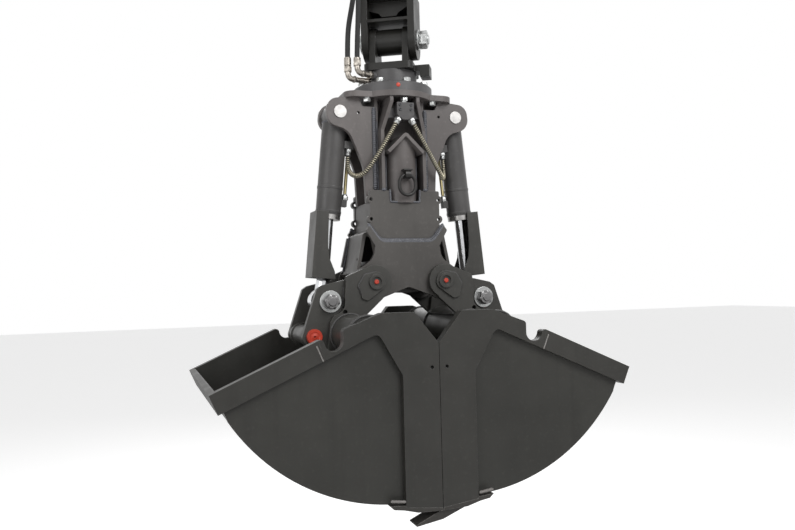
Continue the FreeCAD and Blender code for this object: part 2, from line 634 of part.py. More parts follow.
def hub_tubes():
    """Pivot tubes through both cross plates, each with a bush pressed in at either end."""
    pieces = []
    for side in (-1, 1):
        bore = PIVOT_PIN_R + BUSH_WALL
        tube = rod_y(side * PIVOT_X, 0, HUB_TUBE_R, -CROSS_FACE, CROSS_FACE)
        pieces.append(tube.cut(rod_y(side * PIVOT_X, 0, bore, -CROSS_FACE, CROSS_FACE)))
    return Part.makeCompound(pieces)


def hub_bushes():
    pieces = []
    for side in (-1, 1):
        bush = rod_y(side * PIVOT_X, 0, PIVOT_PIN_R + BUSH_WALL, -CROSS_FACE, -CROSS_FACE + 55.0)
        bush = bush.cut(rod_y(side * PIVOT_X, 0, PIVOT_PIN_R + RUNNING_FIT, -CROSS_FACE, -CROSS_FACE + 55.0))
        pieces += [bush, mirrored_y(bush)]
    return Part.makeCompound(pieces)


def left_web():
    """Sloped web from the column down to the arm, with the plate that closes the arm's top."""
    inner = UPPER_FACE - UPPER_PLATE
    column = block(-COLUMN_WEB_X, -COLUMN_WEB_X + WEB_PLATE, -inner, inner, 165.0, MAST_FOOT_Z)
    slope = plate([(-113.0, 178.0, 0), (-COLUMN_WEB_X, 178.0, 4.0), (-150.0, 166.0, 10.0), (-176.0, 32.0, 0),
                   (-164.0, 38.0, 0), (-140.0, 155.0, 6.0), (-113.0, 162.0, 0)], -inner, inner)
    closing = plate([(-180.0, 30.0, 0), (-118.0, 74.0, 0), (-111.0, 64.0, 0), (-173.0, 20.0, 0)],
                    -UPPER_FACE, UPPER_FACE)
    drill = Part.makeCylinder(5.0, 40.0, vec(-185.0, -65.0, 83.0), vec(0.97, 0, -0.24))
    return fused([column, slope, closing]).cut(drill)


def left_window_plate():
    """Plate that closes the waist behind the web, inside the lever's travel."""
    outline = [(-130.0, 174.0, 0), (-156.0, 172.0, 6.0), (-186.0, 42.0, 6.0), (-176.0, 36.0, 0),
               (-150.0, 54.0, 0), (-130.0, 72.0, 0)]
    inner = UPPER_FACE - UPPER_PLATE
    window = plate(outline, inner, LUG_OUTER)
    return window.common(rod_y(-WAIST_X, WAIST_Z, WAIST_R, inner, LUG_OUTER))


def side_webs():
    """Webs that close the frame between its two cross plates, and the belly plate under them."""
    left = [left_web(), left_window_plate()]
    inner = UPPER_FACE - UPPER_PLATE
    belly = plate([(-92.0, -8.0, 0), (-92.0, -24.0, 0), (-60.0, -36.0, 30.0), (0.0, -40.0, 60.0),
                   (60.0, -36.0, 30.0), (92.0, -24.0, 0), (92.0, -8.0, 0), (0.0, -26.0, 60.0)],
                  -inner, inner)
    for side in (-1, 1):
        belly = belly.cut(rod_y(side * PIVOT_X, 0, HUB_TUBE_R, -inner, inner))
    return Part.makeCompound(left + [mirrored_x(piece) for piece in left] + [belly])


def prism_x(points, x0, x1):
    """Prism along X over (y, z) points."""
    corners = [vec(x0, y, z) for y, z in points]
    face = Part.Face(Part.makePolygon(corners + corners[:1]))
    return face.extrude(vec(x1 - x0, 0, 0))


def mast_cheek():
    """Left front cheek of the mast: upright post, then bent in under the flange and deeper there."""
    under = FRAME_TOP_Z - TOP_PLATE
    bend = WEB_PLATE / 4
    outline = [(-POST_OUTER, MAST_FOOT_Z, 0), (-POST_OUTER, POST_TOP_Z, 20.0), (-CHEEK_OUTER, CHEEK_KNEE_Z, 16.0),
               (-CHEEK_OUTER, under, 0), (-CHEEK_OUTER + WEB_PLATE, under, 0),
               (-CHEEK_OUTER + WEB_PLATE, CHEEK_KNEE_Z - bend, 12.0),
               (-POST_OUTER + WEB_PLATE, POST_TOP_Z - bend, 16.0), (-POST_OUTER + WEB_PLATE, MAST_FOOT_Z, 0)]
    whole = plate(outline, -CHEEK_FRONT, -18.0)
    front = [(-REACH, 0.0), (-UPPER_FACE + UPPER_PLATE, 0.0), (-UPPER_FACE + UPPER_PLATE, COLUMN_TOP_Z),
             (-UPPER_FACE, COLUMN_TOP_Z), (-UPPER_FACE, POST_TOP_Z), (-CHEEK_FRONT, CHEEK_KNEE_Z),
             (-CHEEK_FRONT, REACH), (-REACH, REACH)]
    return whole.cut(prism_x(front, -REACH, REACH))


def mast_box():
    """Box mast: two deep side walls, two recessed faces and four bent cheeks, down into the waist."""
    under = FRAME_TOP_Z - TOP_PLATE
    wall = block(-MAST_HALF, -MAST_HALF + WEB_PLATE, -EAR_FACE, EAR_FACE, MAST_FOOT_Z, under)
    face = block(-MAST_HALF, MAST_HALF, -18.0, -18.0 + WEB_PLATE, MAST_FOOT_Z, under)
    cheek = mast_cheek()
    shelf = block(-MAST_HALF, MAST_HALF, -UPPER_FACE + UPPER_PLATE, UPPER_FACE - UPPER_PLATE,
                  MAST_FOOT_Z - WEB_PLATE, MAST_FOOT_Z)
    parts = [wall, mirrored_x(wall), face, mirrored_y(face), shelf]
    parts += [cheek, mirrored_x(cheek), mirrored_y(cheek), half_turn(cheek)]
    body = fused(parts)
    return body.cut(rod_z(0, GUARD_TUBE_Y, GUARD_TUBE_R, 200.0, GUARD_TUBE_TOP_Z))


def ear_plate(y0, y1):
    """Left ear: round on the cylinder pin, hollow lower edge, stepped for the flange bolt."""
    under = FRAME_TOP_Z - TOP_PLATE
    outline = [(-MAST_HALF, MAST_FOOT_Z, 0), (-MAST_HALF, under - 28.0, 0),
               (-136.0, under - 28.0, 8.0), (-146.0, under, 0), (-200.0, under, 10.0),
               (-258.0, CYLINDER_PIN_Z + 44.0, 40.0), (-268.0, CYLINDER_PIN_Z - 40.0, 46.0),
               (-186.0, CYLINDER_PIN_Z - 62.0, 60.0), (-134.0, 400.0, 160.0),
               (-128.0, MAST_FOOT_Z, 0)]
    ear = plate(outline, y0, y1)
    ear = ear.cut(rod_y(-CYLINDER_PIN_X, CYLINDER_PIN_Z, CYLINDER_PIN_R, y0, y1))
    return ear.cut(rod_y(-150.0, CYLINDER_PIN_Z - 1.0, 5.0, y0, y1))


def left_ear_plates():
    return front_and_rear(ear_plate(-EAR_FACE, -EAR_INNER))


def cylinder_pins():
    pieces = []
    for side in (-1, 1):
        pieces.append(rod_y(side * CYLINDER_PIN_X, CYLINDER_PIN_Z, CYLINDER_PIN_R, -EAR_FACE - 3, EAR_FACE + 3))
    return Part.makeCompound(pieces)


def top_plate():
    """Top plate of the frame: a disc under the flange with two rounded wings, holed for the hoses."""
    box = block(-198.0, 198.0, -92.0, 92.0, FRAME_TOP_Z - TOP_PLATE, FRAME_TOP_Z)
    upright = [e for e in box.Edges if abs(e.Vertexes[0].Z - e.Vertexes[1].Z) > 1]
    body = box.makeFillet(40.0, upright)
    disc = rod_z(0, 0, FLANGE_R, FRAME_TOP_Z - TOP_PLATE, FRAME_TOP_Z)
    return fused([body, disc]).cut(rod_z(0, 0, 40.0, FRAME_TOP_Z - TOP_PLATE, FRAME_TOP_Z))


def guard_tube():
    """Round tube in front of the mast under a pitched roof."""
    tube = rod_z(0, GUARD_TUBE_Y, GUARD_TUBE_R, NOTCH_FLOOR_Z, GUARD_TUBE_TOP_Z)
    tube = tube.cut(rod_z(0, GUARD_TUBE_Y, GUARD_TUBE_R - 6.0, NOTCH_FLOOR_Z + 8.0, GUARD_TUBE_TOP_Z))
    return fused([tube.cut(roof_space()), roof()])


def ring_lug():
    """Lug on the tube with a cross bore for the lifting ring, under a small hood."""
    nose = Part.makeCylinder(15.0, 2 * LUG_HALF, vec(-LUG_HALF, RING_Y, RING_PIVOT_Z), X_AXIS)
    stem = block(-LUG_HALF, LUG_HALF, RING_Y, TUBE_FRONT + 8.0, RING_PIVOT_Z - 13.0, RING_PIVOT_Z + 14.0)
    hood = block(-16.0, 16.0, RING_Y - 12.0, TUBE_FRONT + 8.0, RING_PIVOT_Z + 13.0, RING_PIVOT_Z + 19.0)
    lug = fused([nose, stem, hood]).cut(rod_z(0, GUARD_TUBE_Y, GUARD_TUBE_R, NOTCH_FLOOR_Z, GUARD_TUBE_TOP_Z))
    return lug.cut(Part.makeCylinder(LUG_BORE_R, 2 * LUG_HALF, vec(-LUG_HALF, RING_Y, RING_PIVOT_Z), X_AXIS))


def roof():
    """Two plates meeting in a ridge over the tube."""
    outline = [(-ROOF_HALF, ROOF_EAVE_Z, 0), (0, ROOF_APEX_Z, 12.0), (ROOF_HALF, ROOF_EAVE_Z, 0),
               (ROOF_HALF - ROOF_SHEET, ROOF_EAVE_Z - ROOF_SHEET, 0), (0, ROOF_APEX_Z - 2 * ROOF_SHEET, 4.0),
               (-ROOF_HALF + ROOF_SHEET, ROOF_EAVE_Z - ROOF_SHEET, 0)]
    return plate(outline, TUBE_FRONT - 14.0, -18.0)


def roof_space():
    """Everything over the roof's under side, to trim the tube to it."""
    outline = [(-ROOF_HALF + ROOF_SHEET, ROOF_EAVE_Z - ROOF_SHEET, 0), (0, ROOF_APEX_Z - 2 * ROOF_SHEET, 4.0),
               (ROOF_HALF - ROOF_SHEET, ROOF_EAVE_Z - ROOF_SHEET, 0), (ROOF_HALF, REACH, 0), (-ROOF_HALF, REACH, 0)]
    return plate(outline, TUBE_FRONT - 20.0, 0.0)


def shackle_ring():
    """Oval link of round bar hanging through the lug's hole, in front of the tube."""
    half = RING_HALF
    top = vec(0, RING_Y, RING_PIVOT_Z)
    upper = top - vec(0, 0, half)
    lower = upper - vec(0, 0, RING_STRAIGHT)
    arcs = [Part.Arc(upper + vec(-half, 0, 0), top, upper + vec(half, 0, 0)).toShape(),
            Part.LineSegment(upper + vec(half, 0, 0), lower + vec(half, 0, 0)).toShape(),
            Part.Arc(lower + vec(half, 0, 0), lower - vec(0, 0, half), lower + vec(-half, 0, 0)).toShape(),
            Part.LineSegment(lower + vec(-half, 0, 0), upper + vec(-half, 0, 0)).toShape()]
    path = Part.Wire(arcs)
    section = Part.Wire(Part.Circle(upper + vec(-half, 0, 0), Z_AXIS, RING_BAR_R).toShape())
    return path.makePipeShell([section], True, False)


def manifold_block():
    """Valve block on a strap between the cheeks, with its feed nipple and two angled outlets."""
    outline = [(-31.0, 616.0, 3.0), (31.0, 616.0, 3.0), (31.0, 573.0, 3.0), (10.5, 556.0, 3.0),
               (-10.5, 556.0, 3.0), (-31.0, 573.0, 3.0)]
    body = plate(outline, -132.0, -104.0)
    nipple = rod_z(0, -118.0, 9.0, 616.0, FRAME_TOP_Z - TOP_PLATE)
    strap = plate([(-62.0, 566.0, 0), (62.0, 566.0, 0), (54.0, 600.0, 0), (-54.0, 600.0, 0)], -104.0, -98.0)
    cheek = mast_cheek()
    strap = strap.cut(fused([cheek, mirrored_x(cheek)]))
    strap = max(strap.Solids, key=lambda solid: solid.Volume)
    pieces = [body, nipple, strap]
    for side in (-1, 1):
        pieces.append(hose_end(*hose_route(side)[:2], 30.0, SOCKET_R))
    return fused(pieces)


def hose_end(start, following, length, radius):
    """Straight socket behind a hose's first point, along its first run."""
    along = following - start
    along.normalize()
    return Part.makeCylinder(radius, length, start - along * length, along)


def hose_route(side):
    """Points of one guarded hose, from the valve block to the port block on the barrel."""
    points = [vec(-32.0, -120.0, 545.0), vec(-60.0, -119.5, 497.0), vec(-88.0, -116.0, 450.0),
              vec(-115.0, -108.0, 408.0), vec(-140.0, -98.0, 372.6), vec(-166.0, -54.2, 363.9)]
    for drop in (SOCKET_LENGTH + 46.0, SOCKET_LENGTH):
        points.append(cylinder_point(HOSE_PORT_X, -HOSE_PORT_Y, PORT_FOOT - drop))
    if side < 0:
        return points
    return [vec(-p.x, p.y, p.z) for p in points]


def guarded_hose(side):
    """Spring-guarded hose, trimmed to the face of the port socket that it ends on."""
    points = hose_route(side)
    tube = cord_tube(points, GUARDED_HOSE_R, "guarded hose")
    return tube.cut(hose_end(points[-1], points[-2], SOCKET_LENGTH, SOCKET_R))


def feed_route(index):
    """Points of a feed hose, from its elbow on the head up past the hanger."""
    if index == 0:
        return [vec(-177.0, -40.0, 782.0), vec(-176.0, -40.0, 842.0), vec(-170.0, -39.0, 902.0),
                vec(-158.0, -38.5, 960.0), vec(-147.0, -37.0, 1018.0), vec(-138.0, -36.0, 1062.0)]
    return [vec(-149.0, -62.0, 778.0), vec(-148.0, -66.0, 838.0), vec(-147.0, -76.0, 898.0),
            vec(-148.0, -88.0, 956.0), vec(-150.0, -98.0, 1014.0), vec(-152.0, -106.0, 1062.0)]


def cord_tube(points, radius, label):
    """Tube along straight runs joined by the largest tangent arcs their runs allow."""
    edges = []
    last = points[0]
    radii = []
    for before, here, after in zip(points, points[1:], points[2:]):
        back = before - here
        ahead = after - here
        shorter = min(back.Length, ahead.Length)
        turn = math.pi - back.getAngle(ahead)
        reach = 0.45 * shorter
        radii.append(round(reach / math.tan(turn / 2), 1))
        back.normalize()
        ahead.normalize()
        start = here + back * reach
        end = here + ahead * reach
        edges.append(Part.LineSegment(last, start).toShape())
        edges.append(fillet_arc(start, here, end, radii[-1]))
        last = end
    edges.append(Part.LineSegment(last, points[-1]).toShape())
    path = Part.Wire(edges)
    section = Part.Wire(Part.Circle(points[0], points[1] - points[0], radius).toShape())
    tube = path.makePipeShell([section], True, False)
    expected = math.pi * radius ** 2 * path.Length
    print(label, "radii", radii, "length", round(path.Length, 1), "volume ratio", round(tube.Volume / expected, 4))
    return tube


# ================= head and hanger =================


def yawed(shape):
    turned = shape.copy()
    turned.rotate(ORIGIN, Z_AXIS, HANGER_YAW)
    return turned


def rotor_flange():
    """Turning flange of the swivel with its journal up inside the housing."""
    disc = rod_z(0, 0, FLANGE_R, FRAME_TOP_Z, FLANGE_TOP_Z)
    rim = [e for e in disc.Edges if abs(e.CenterOfMass.z - FLANGE_TOP_Z) < 1 and e.Closed]
    disc = disc.makeChamfer(4.0, rim)
    journal = rod_z(0, 0, 45.0, FLANGE_TOP_Z, FLANGE_TOP_Z + 41.0)
    return fused([disc, journal])


def rotator_housing():
    """Fixed swivel housing with a groove, a drain hole and its two hose ports."""
    base = FLANGE_TOP_Z + 1.0
    body = rod_z(0, 0, HOUSING_R, base, HOUSING_TOP_Z)
    skirt = rod_z(0, 0, HOUSING_R + 7.0, base, base + 9.0)
    bosses = []
    for index in (0, 1):
        inward, distance = port_direction(index)
        face = elbow_centre(index) + inward * (distance - PORT_BOSS_REACH)
        bosses.append(Part.makeCylinder(15.0, 26.0, face, inward))
    body = fused([body, skirt] + bosses)
    return body.cut(rod_z(0, 0, 45.0 + RUNNING_FIT, base, base + 41.0))


def swivel_head():
    """Head plate with two ears and the pin tube between them, and a hose tab."""
    plate_box = block(-88.0, 88.0, -84.0, 84.0, HOUSING_TOP_Z, HEAD_TOP_Z)
    upright = [e for e in plate_box.Edges if abs(e.Vertexes[0].Z - e.Vertexes[1].Z) > 1]
    body = plate_box.makeFillet(22.0, upright)
    tab = block(60.0, TAB_END, -30.0, 30.0, HOUSING_TOP_Z, HEAD_TOP_Z - 4.0)
    stop = block(TAB_END - 34.0, TAB_END, -30.0, 30.0, HOUSING_TOP_Z - 20.0, HOUSING_TOP_Z)
    ears = [head_ear(-1), head_ear(1)]
    tube = Part.makeCylinder(46.0, HEAD_EAR_GAP, vec(-HEAD_EAR_GAP / 2, 0, HANGER_PIN_Z), X_AXIS)
    body = fused([body, tab, stop, tube] + ears)
    bore = Part.makeCylinder(HANGER_PIN_R + RUNNING_FIT, 200.0, vec(-100.0, 0, HANGER_PIN_Z), X_AXIS)
    return yawed(body.cut(bore))


def head_ear(side):
    """Ear of the head: round on the pin, flared to its foot."""
    x = -EAR_OUTER if side < 0 else HEAD_EAR_GAP / 2
    points = [vec(x, -62.0, HEAD_TOP_Z), vec(x, 62.0, HEAD_TOP_Z), vec(x, 52.0, HANGER_PIN_Z),
              vec(x, -52.0, HANGER_PIN_Z)]
    foot = Part.Face(Part.makePolygon(points + points[:1])).extrude(vec(HEAD_EAR, 0, 0))
    crown = Part.makeCylinder(52.0, HEAD_EAR, vec(x, 0, HANGER_PIN_Z), X_AXIS)
    return foot.fuse(crown)


def hanger_fork():
    """Fork hung from the crane: two side plates, a cross plate, a keel, a crown and the upper eye lug."""
    cross_z = HANGER_PIN_Z + 56.0
    sides = [hanger_side(-1), hanger_side(1)]
    cross = block(-HANGER_INNER, HANGER_INNER, -HANGER_HALF_DEPTH, HANGER_HALF_DEPTH, cross_z, cross_z + 10.0)
    back = block(-HANGER_INNER, HANGER_INNER, HANGER_HALF_DEPTH - 14.0, HANGER_HALF_DEPTH, cross_z, CROWN_Z)
    keel = plate([(-HANGER_INNER, CROWN_Z, 0), (-HANGER_INNER, 974.0, 0), (-36.0, 962.0, 6.0), (-28.0, 950.0, 6.0),
                  (26.0, 950.0, 6.0), (34.0, 962.0, 6.0), (HANGER_INNER, 984.0, 0), (HANGER_INNER, CROWN_Z, 0)],
                 -LUG_DEPTH, LUG_DEPTH)
    crown = block(-HANGER_OUTER, HANGER_OUTER, -HANGER_HALF_DEPTH, HANGER_HALF_DEPTH, CROWN_Z, CROWN_TOP_Z)
    body = fused(sides + [cross, back, keel, crown, hanger_lug()])
    body = body.cut(Part.makeCylinder(UPPER_BORE_R, 200.0, vec(0, -100.0, BORE_HEIGHT), Y_AXIS))
    bore = Part.makeCylinder(HANGER_PIN_R, 400.0, vec(-200.0, 0, HANGER_PIN_Z), X_AXIS)
    return yawed(body.cut(bore))


def hanger_side(side):
    """One fork side plate, round at the pin and straight up to the crown."""
    x = -HANGER_OUTER if side < 0 else HANGER_INNER
    body = block(x, x + HANGER_PLATE, -HANGER_HALF_DEPTH, HANGER_HALF_DEPTH, HANGER_PIN_Z, CROWN_TOP_Z)
    return body.fuse(Part.makeCylinder(HANGER_HALF_DEPTH, HANGER_PLATE, vec(x, 0, HANGER_PIN_Z), X_AXIS))


def hanger_lug():
    """Upper eye: thick lug with a round crown, square to the lower pin."""
    half = LUG_DEPTH
    outline = [(-62.0, CROWN_TOP_Z, 0), (62.0, CROWN_TOP_Z, 0), (56.0, BORE_HEIGHT, 0), (-56.0, BORE_HEIGHT, 0)]
    return plate(outline, -half, half).fuse(rod_y(0, BORE_HEIGHT, 56.0, -half, half))


def hanger_pin():
    """Lower pin: shouldered bolt with a head at one end and a washer and nut at the other."""
    grip = HANGER_OUTER
    washer_end = grip + 7.0
    nut_end = washer_end + 30.0
    shank = Part.makeCylinder(HANGER_PIN_R, 2 * grip, vec(-grip, 0, HANGER_PIN_Z), X_AXIS)
    thread = Part.makeCylinder(18.0, nut_end + 5.0 - grip, vec(grip, 0, HANGER_PIN_Z), X_AXIS)
    head = Part.makeCylinder(36.0, 14.0, vec(-grip - 14.0, 0, HANGER_PIN_Z), X_AXIS)
    washer = Part.makeCylinder(36.0, washer_end - grip, vec(grip, 0, HANGER_PIN_Z), X_AXIS)
    nut = hexagon(0, 0, 56.0, 0, nut_end - washer_end)
    nut.rotate(ORIGIN, Z_AXIS, -90)
    nut.translate(vec(washer_end, 0, HANGER_PIN_Z))
    return yawed(fused([shank, thread, head, washer, nut]))


def elbow_centre(index):
    """Axis foot of each elbow, below its hose's first point."""
    start = feed_route(index)[0]
    return vec(start.x, start.y, (711.0, 728.0)[index])


def port_direction(index):
    """Level unit vector from an elbow to the swivel's axis, and the distance between them."""
    centre = elbow_centre(index)
    inward = vec(-centre.x, -centre.y, 0)
    distance = inward.Length
    inward.normalize()
    return inward, distance


def hose_elbows():
    """Two banjo elbows from the housing's bosses, each turned up to a hose ferrule."""
    pieces = []
    for index in (0, 1):
        start = feed_route(index)[0]
        centre = elbow_centre(index)
        inward, distance = port_direction(index)
        reach = distance - PORT_BOSS_REACH
        stub = Part.makeCylinder(9.5, reach, centre, inward)
        collar = Part.makeCylinder(11.5, 12.0, centre + inward * (reach - 12.0), inward)
        body = Part.makeCylinder(12.0, 22.0, centre - Z_AXIS * 11.0, Z_AXIS)
        riser = Part.makeCylinder(8.5, start.z - 26.0 - centre.z, centre, Z_AXIS)
        ferrule = hose_end(*feed_route(index)[:2], 30.0, 13.0)
        pieces.append(fused([body, stub, collar, riser, ferrule]))
    return Part.makeCompound(pieces)


def feed_couplings():
    """Swivel couplings at the feed hoses' upper ends."""
    pieces = []
    for index in (0, 1):
        before, end = feed_route(index)[-2:]
        along = end - before
        along.normalize()
        sleeve = Part.makeCylinder(12.5, 34.0, end, along)
        nut = Part.makeCylinder(15.0, 18.0, end + along * 34.0, along)
        pieces.append(fused([sleeve, nut]))
    return Part.makeCompound(pieces)


# ================= output =================

LEFT_PIECES = {
    "shell_sides": left_shell_sides, "wrapper": left_wrapper, "rim_frame": left_rim_frame,
    "cheek_plates": left_cheek_plates, "knife": left_knife, "cross_tube": left_cross_tube,
    "lever_body": left_lever_body, "lever_arms": left_lever_arms, "rod_bolt": left_rod_bolt,
    "shell_pin": left_shell_pin, "pin_caps": left_pin_caps, "hub_pin": left_hub_pin,
    "cylinder_gland": left_cylinder_gland,
    "piston_rod": left_piston_rod, "rod_guard": left_rod_guard, "ear_plates": left_ear_plates,
}


def pieces():
    """Every node's name and shape, heights still above the pivot line."""
    for name, make in LEFT_PIECES.items():
        shape = make()
        yield "left_" + name, shape
        yield "right_" + name, half_turn(shape)
    for name, make in (("cylinder_barrel", left_cylinder_barrel), ("oil_pipe", left_oil_pipe)):
        shape = make()
        yield "left_" + name, shape
        yield "right_" + name, mirrored_x(shape)
    front = front_cross_plate()
    yield "front_cross_plate", front
    yield "rear_cross_plate", mirrored_y(front)
    yield "side_webs", side_webs()
    yield "hub_tubes", hub_tubes()
    yield "hub_bushes", hub_bushes()
    yield "mast_box", mast_box()
    yield "cylinder_pins", cylinder_pins()
    yield "top_plate", top_plate()
    yield "guard_tube", guard_tube()
    yield "ring_lug", ring_lug()
    yield "shackle_ring", shackle_ring()
    yield "manifold_block", manifold_block()
    yield "left_guarded_hose", guarded_hose(-1)
    yield "right_guarded_hose", guarded_hose(1)
    yield "rotor_flange", rotor_flange()
    yield "rotator_housing", rotator_housing()
    yield "swivel_head", swivel_head()
    yield "hose_elbows", hose_elbows()
    yield "feed_hose_outer", cord_tube(feed_route(0), FEED_HOSE_R, "outer feed hose")
    yield "feed_hose_inner", cord_tube(feed_route(1), FEED_HOSE_R, "inner feed hose")
    yield "feed_couplings", feed_couplings()
    yield "hanger_fork", hanger_fork()
    yield "hanger_pin", hanger_pin()


def main():
    os.makedirs("parts", exist_ok=True)
    for name, shape in pieces():
        lowered = shape.copy()
        lowered.translate(vec(0, 0, -BORE_HEIGHT))
        lowered.exportStep("parts/" + name + ".step")
        print(name, len(lowered.Solids), "solids", round(lowered.Volume / 1000.0), "cm3", lowered.isValid())


main()
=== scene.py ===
"""Looks of the hydraulic clamshell bucket: finishes, hoses, weld beads, fasteners, light and camera."""
import logging
import math
from dataclasses import dataclass, field
from enum import Enum

import bmesh
import bpy
import numpy as np
from mathutils import Matrix


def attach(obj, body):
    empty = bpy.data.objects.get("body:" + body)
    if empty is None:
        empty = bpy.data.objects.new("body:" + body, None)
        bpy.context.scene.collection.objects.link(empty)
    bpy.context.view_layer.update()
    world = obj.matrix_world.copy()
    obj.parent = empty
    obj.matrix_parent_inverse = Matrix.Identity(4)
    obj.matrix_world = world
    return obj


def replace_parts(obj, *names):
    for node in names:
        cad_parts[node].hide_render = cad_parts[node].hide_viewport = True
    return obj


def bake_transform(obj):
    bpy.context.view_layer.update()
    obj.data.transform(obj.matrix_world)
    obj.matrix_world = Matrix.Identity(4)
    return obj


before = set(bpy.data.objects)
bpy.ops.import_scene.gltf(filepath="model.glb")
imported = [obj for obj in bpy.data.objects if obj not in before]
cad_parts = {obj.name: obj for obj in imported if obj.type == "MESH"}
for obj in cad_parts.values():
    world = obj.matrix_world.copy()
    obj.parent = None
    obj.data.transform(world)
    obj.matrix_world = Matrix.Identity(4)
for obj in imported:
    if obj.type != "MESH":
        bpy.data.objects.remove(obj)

Array = np.ndarray
Triple = tuple[float, float, float]
log = logging.getLogger("bucket")
BORE_HEIGHT = 1095.0
Profile = tuple[tuple[float, float], ...]
Rounded = tuple[Triple, ...]
UP, DOWN, AHEAD = (0.0, 0.0, 1.0), (0.0, 0.0, -1.0), (0.0, -1.0, 0.0)


class Side(Enum):
    """The two shells' sides, valued by the sign of X."""

    LEFT = -1
    RIGHT = 1

    @property
    def word(self) -> str:
        """Name part used by the bodies and nodes."""
        return self.name.lower()


def at(x: float, y: float, z: float) -> Array:
    """Point in the part's frame, in metres, from millimetres with z above the shell pivots."""
    return np.array([x, y, z - BORE_HEIGHT]) / 1000.0


# ================= surfaces =================

@dataclass
class Solid:
    """Closed surfaces gathered for one piece: points, four-cornered faces and flat caps."""

    points: Array = field(default_factory=lambda: np.zeros((0, 3)))
    quads: Array = field(default_factory=lambda: np.zeros((0, 4), int))
    caps: list[list[int]] = field(default_factory=list)

    def add(self, other: "Solid") -> "Solid":
        """Gather another solid's surfaces into this one.

        Args:
            other: the solid to add.
        Returns:
            This solid.
        """
        shift = len(self.points)
        self.points = np.vstack([self.points, other.points])
        self.quads = np.vstack([self.quads, other.quads + shift])
        self.caps += [[i + shift for i in cap] for cap in other.caps]
        return self

    def placed(self, matrix: Array) -> "Solid":
        """Copy moved by a 4 by 4 matrix."""
        points = self.points @ matrix[:3, :3].T + matrix[:3, 3]
        return Solid(points, self.quads.copy(), [list(cap) for cap in self.caps])

    def repeated(self, matrices: list[Array]) -> "Solid":
        """One copy for each matrix, gathered into a single solid.

        Args:
            matrices: 4 by 4 matrices, one for each copy.
        Returns:
            The gathered copies.
        """
        gathered = Solid()
        for matrix in matrices:
            gathered.add(self.placed(matrix))
        return gathered

    def piece(self, name: str, finish: "Finish", body: str, slot: str,
              sharp: float = 35.0) -> bpy.types.Object:
        """Blender object of the solid, dressed and riding on a body.

        Args:
            name: the piece's name.
            finish: its finish.
            body: the body that it rides on, or nothing for a piece left on no body.
            slot: not used.
            sharp: angle in degrees over which an edge stays sharp.
        Returns:
            The new object.
        """
        mesh = bpy.data.meshes.new(name)
        mesh.from_pydata(self.points, [], self.quads.tolist() + self.caps)
        work = bmesh.new()
        work.from_mesh(mesh)
        bmesh.ops.recalc_face_normals(work, faces=work.faces)
        work.to_mesh(mesh)
        work.free()
        mesh.polygons.foreach_set("use_smooth", np.ones(len(mesh.polygons), bool))
        mesh.set_sharp_from_angle(angle=math.radians(sharp))
        mesh.materials.append(finish.material())
        piece = bpy.data.objects.new(name, mesh)
        bpy.context.scene.collection.objects.link(piece)
        if body:
            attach(piece, body)
        log.info("%s: %d faces on %s", name, len(mesh.polygons), body or "two bodies")
        return piece


def grid(points: Array, wrap: bool = False) -> Solid:
    """Solid over a grid of points (rows, columns, 3): columns close round, rows close if wrap.

    Each face joins a point with its neighbours one row and one column on. Without wrap the
    first and last rows become flat caps.

    Args:
        points: the grid of points in metres.
        wrap: whether the last row joins the first.
    Returns:
        The solid.
    """
    rows, columns = points.shape[:2]
    row = np.arange(rows if wrap else rows - 1)[:, None]
    column = np.arange(columns)[None, :]
    following = (row + 1) % rows * columns
    beside = (column + 1) % columns
    here = row * columns
    quads = np.stack([here + column, here + beside, following + beside, following + column], -1)
    caps = [] if wrap else [list(range(columns)), list(range((rows - 1) * columns, rows * columns))[::-1]]
    return Solid(points.reshape(-1, 3), quads.reshape(-1, 4), caps)


def turned(profile: list[tuple[float, float]], segments: int = 32) -> Solid:
    """Profile of (radius, height) pairs in millimetres turned about Z: x = r cos a, y = r sin a.

    Args:
        profile: radius and height pairs from one end to the other.
        segments: columns round the axis.
    Returns:
        The solid of revolution.
    """
    shape = np.array(profile, float) / 1000.0
    angle = np.linspace(0, 2 * np.pi, segments, endpoint=False)
    ring = np.stack([np.cos(angle), np.sin(angle), np.zeros_like(angle)], -1)
    points = shape[:, :1, None] * ring[None] + shape[:, 1][:, None, None] * np.array([0, 0, 1.0])
    return grid(points)


def six_sided(flats: float, profile: list[tuple[float, float]], segments: int = 48) -> Solid:
    """Hexagon of the given flats trimmed by a turned profile: r is the smaller of the two.

    The hexagon's radius at angle a is half the flats over cos(a folded into plus or minus 30 degrees).

    Args:
        flats: width across flats in millimetres.
        profile: radius and height pairs that trim the corners.
        segments: columns round the axis.
    Returns:
        The trimmed hexagon.
    """
    shape = np.array(profile, float) / 1000.0
    angle = np.linspace(0, 2 * np.pi, segments, endpoint=False)
    folded = (angle + np.pi / 6) % (np.pi / 3) - np.pi / 6
    hexagon = flats / 2000.0 / np.cos(folded)
    radius = np.minimum(shape[:, :1], hexagon[None, :])
    points = np.stack([radius * np.cos(angle), radius * np.sin(angle),
                       np.broadcast_to(shape[:, 1:], radius.shape)], -1)
    return grid(points)


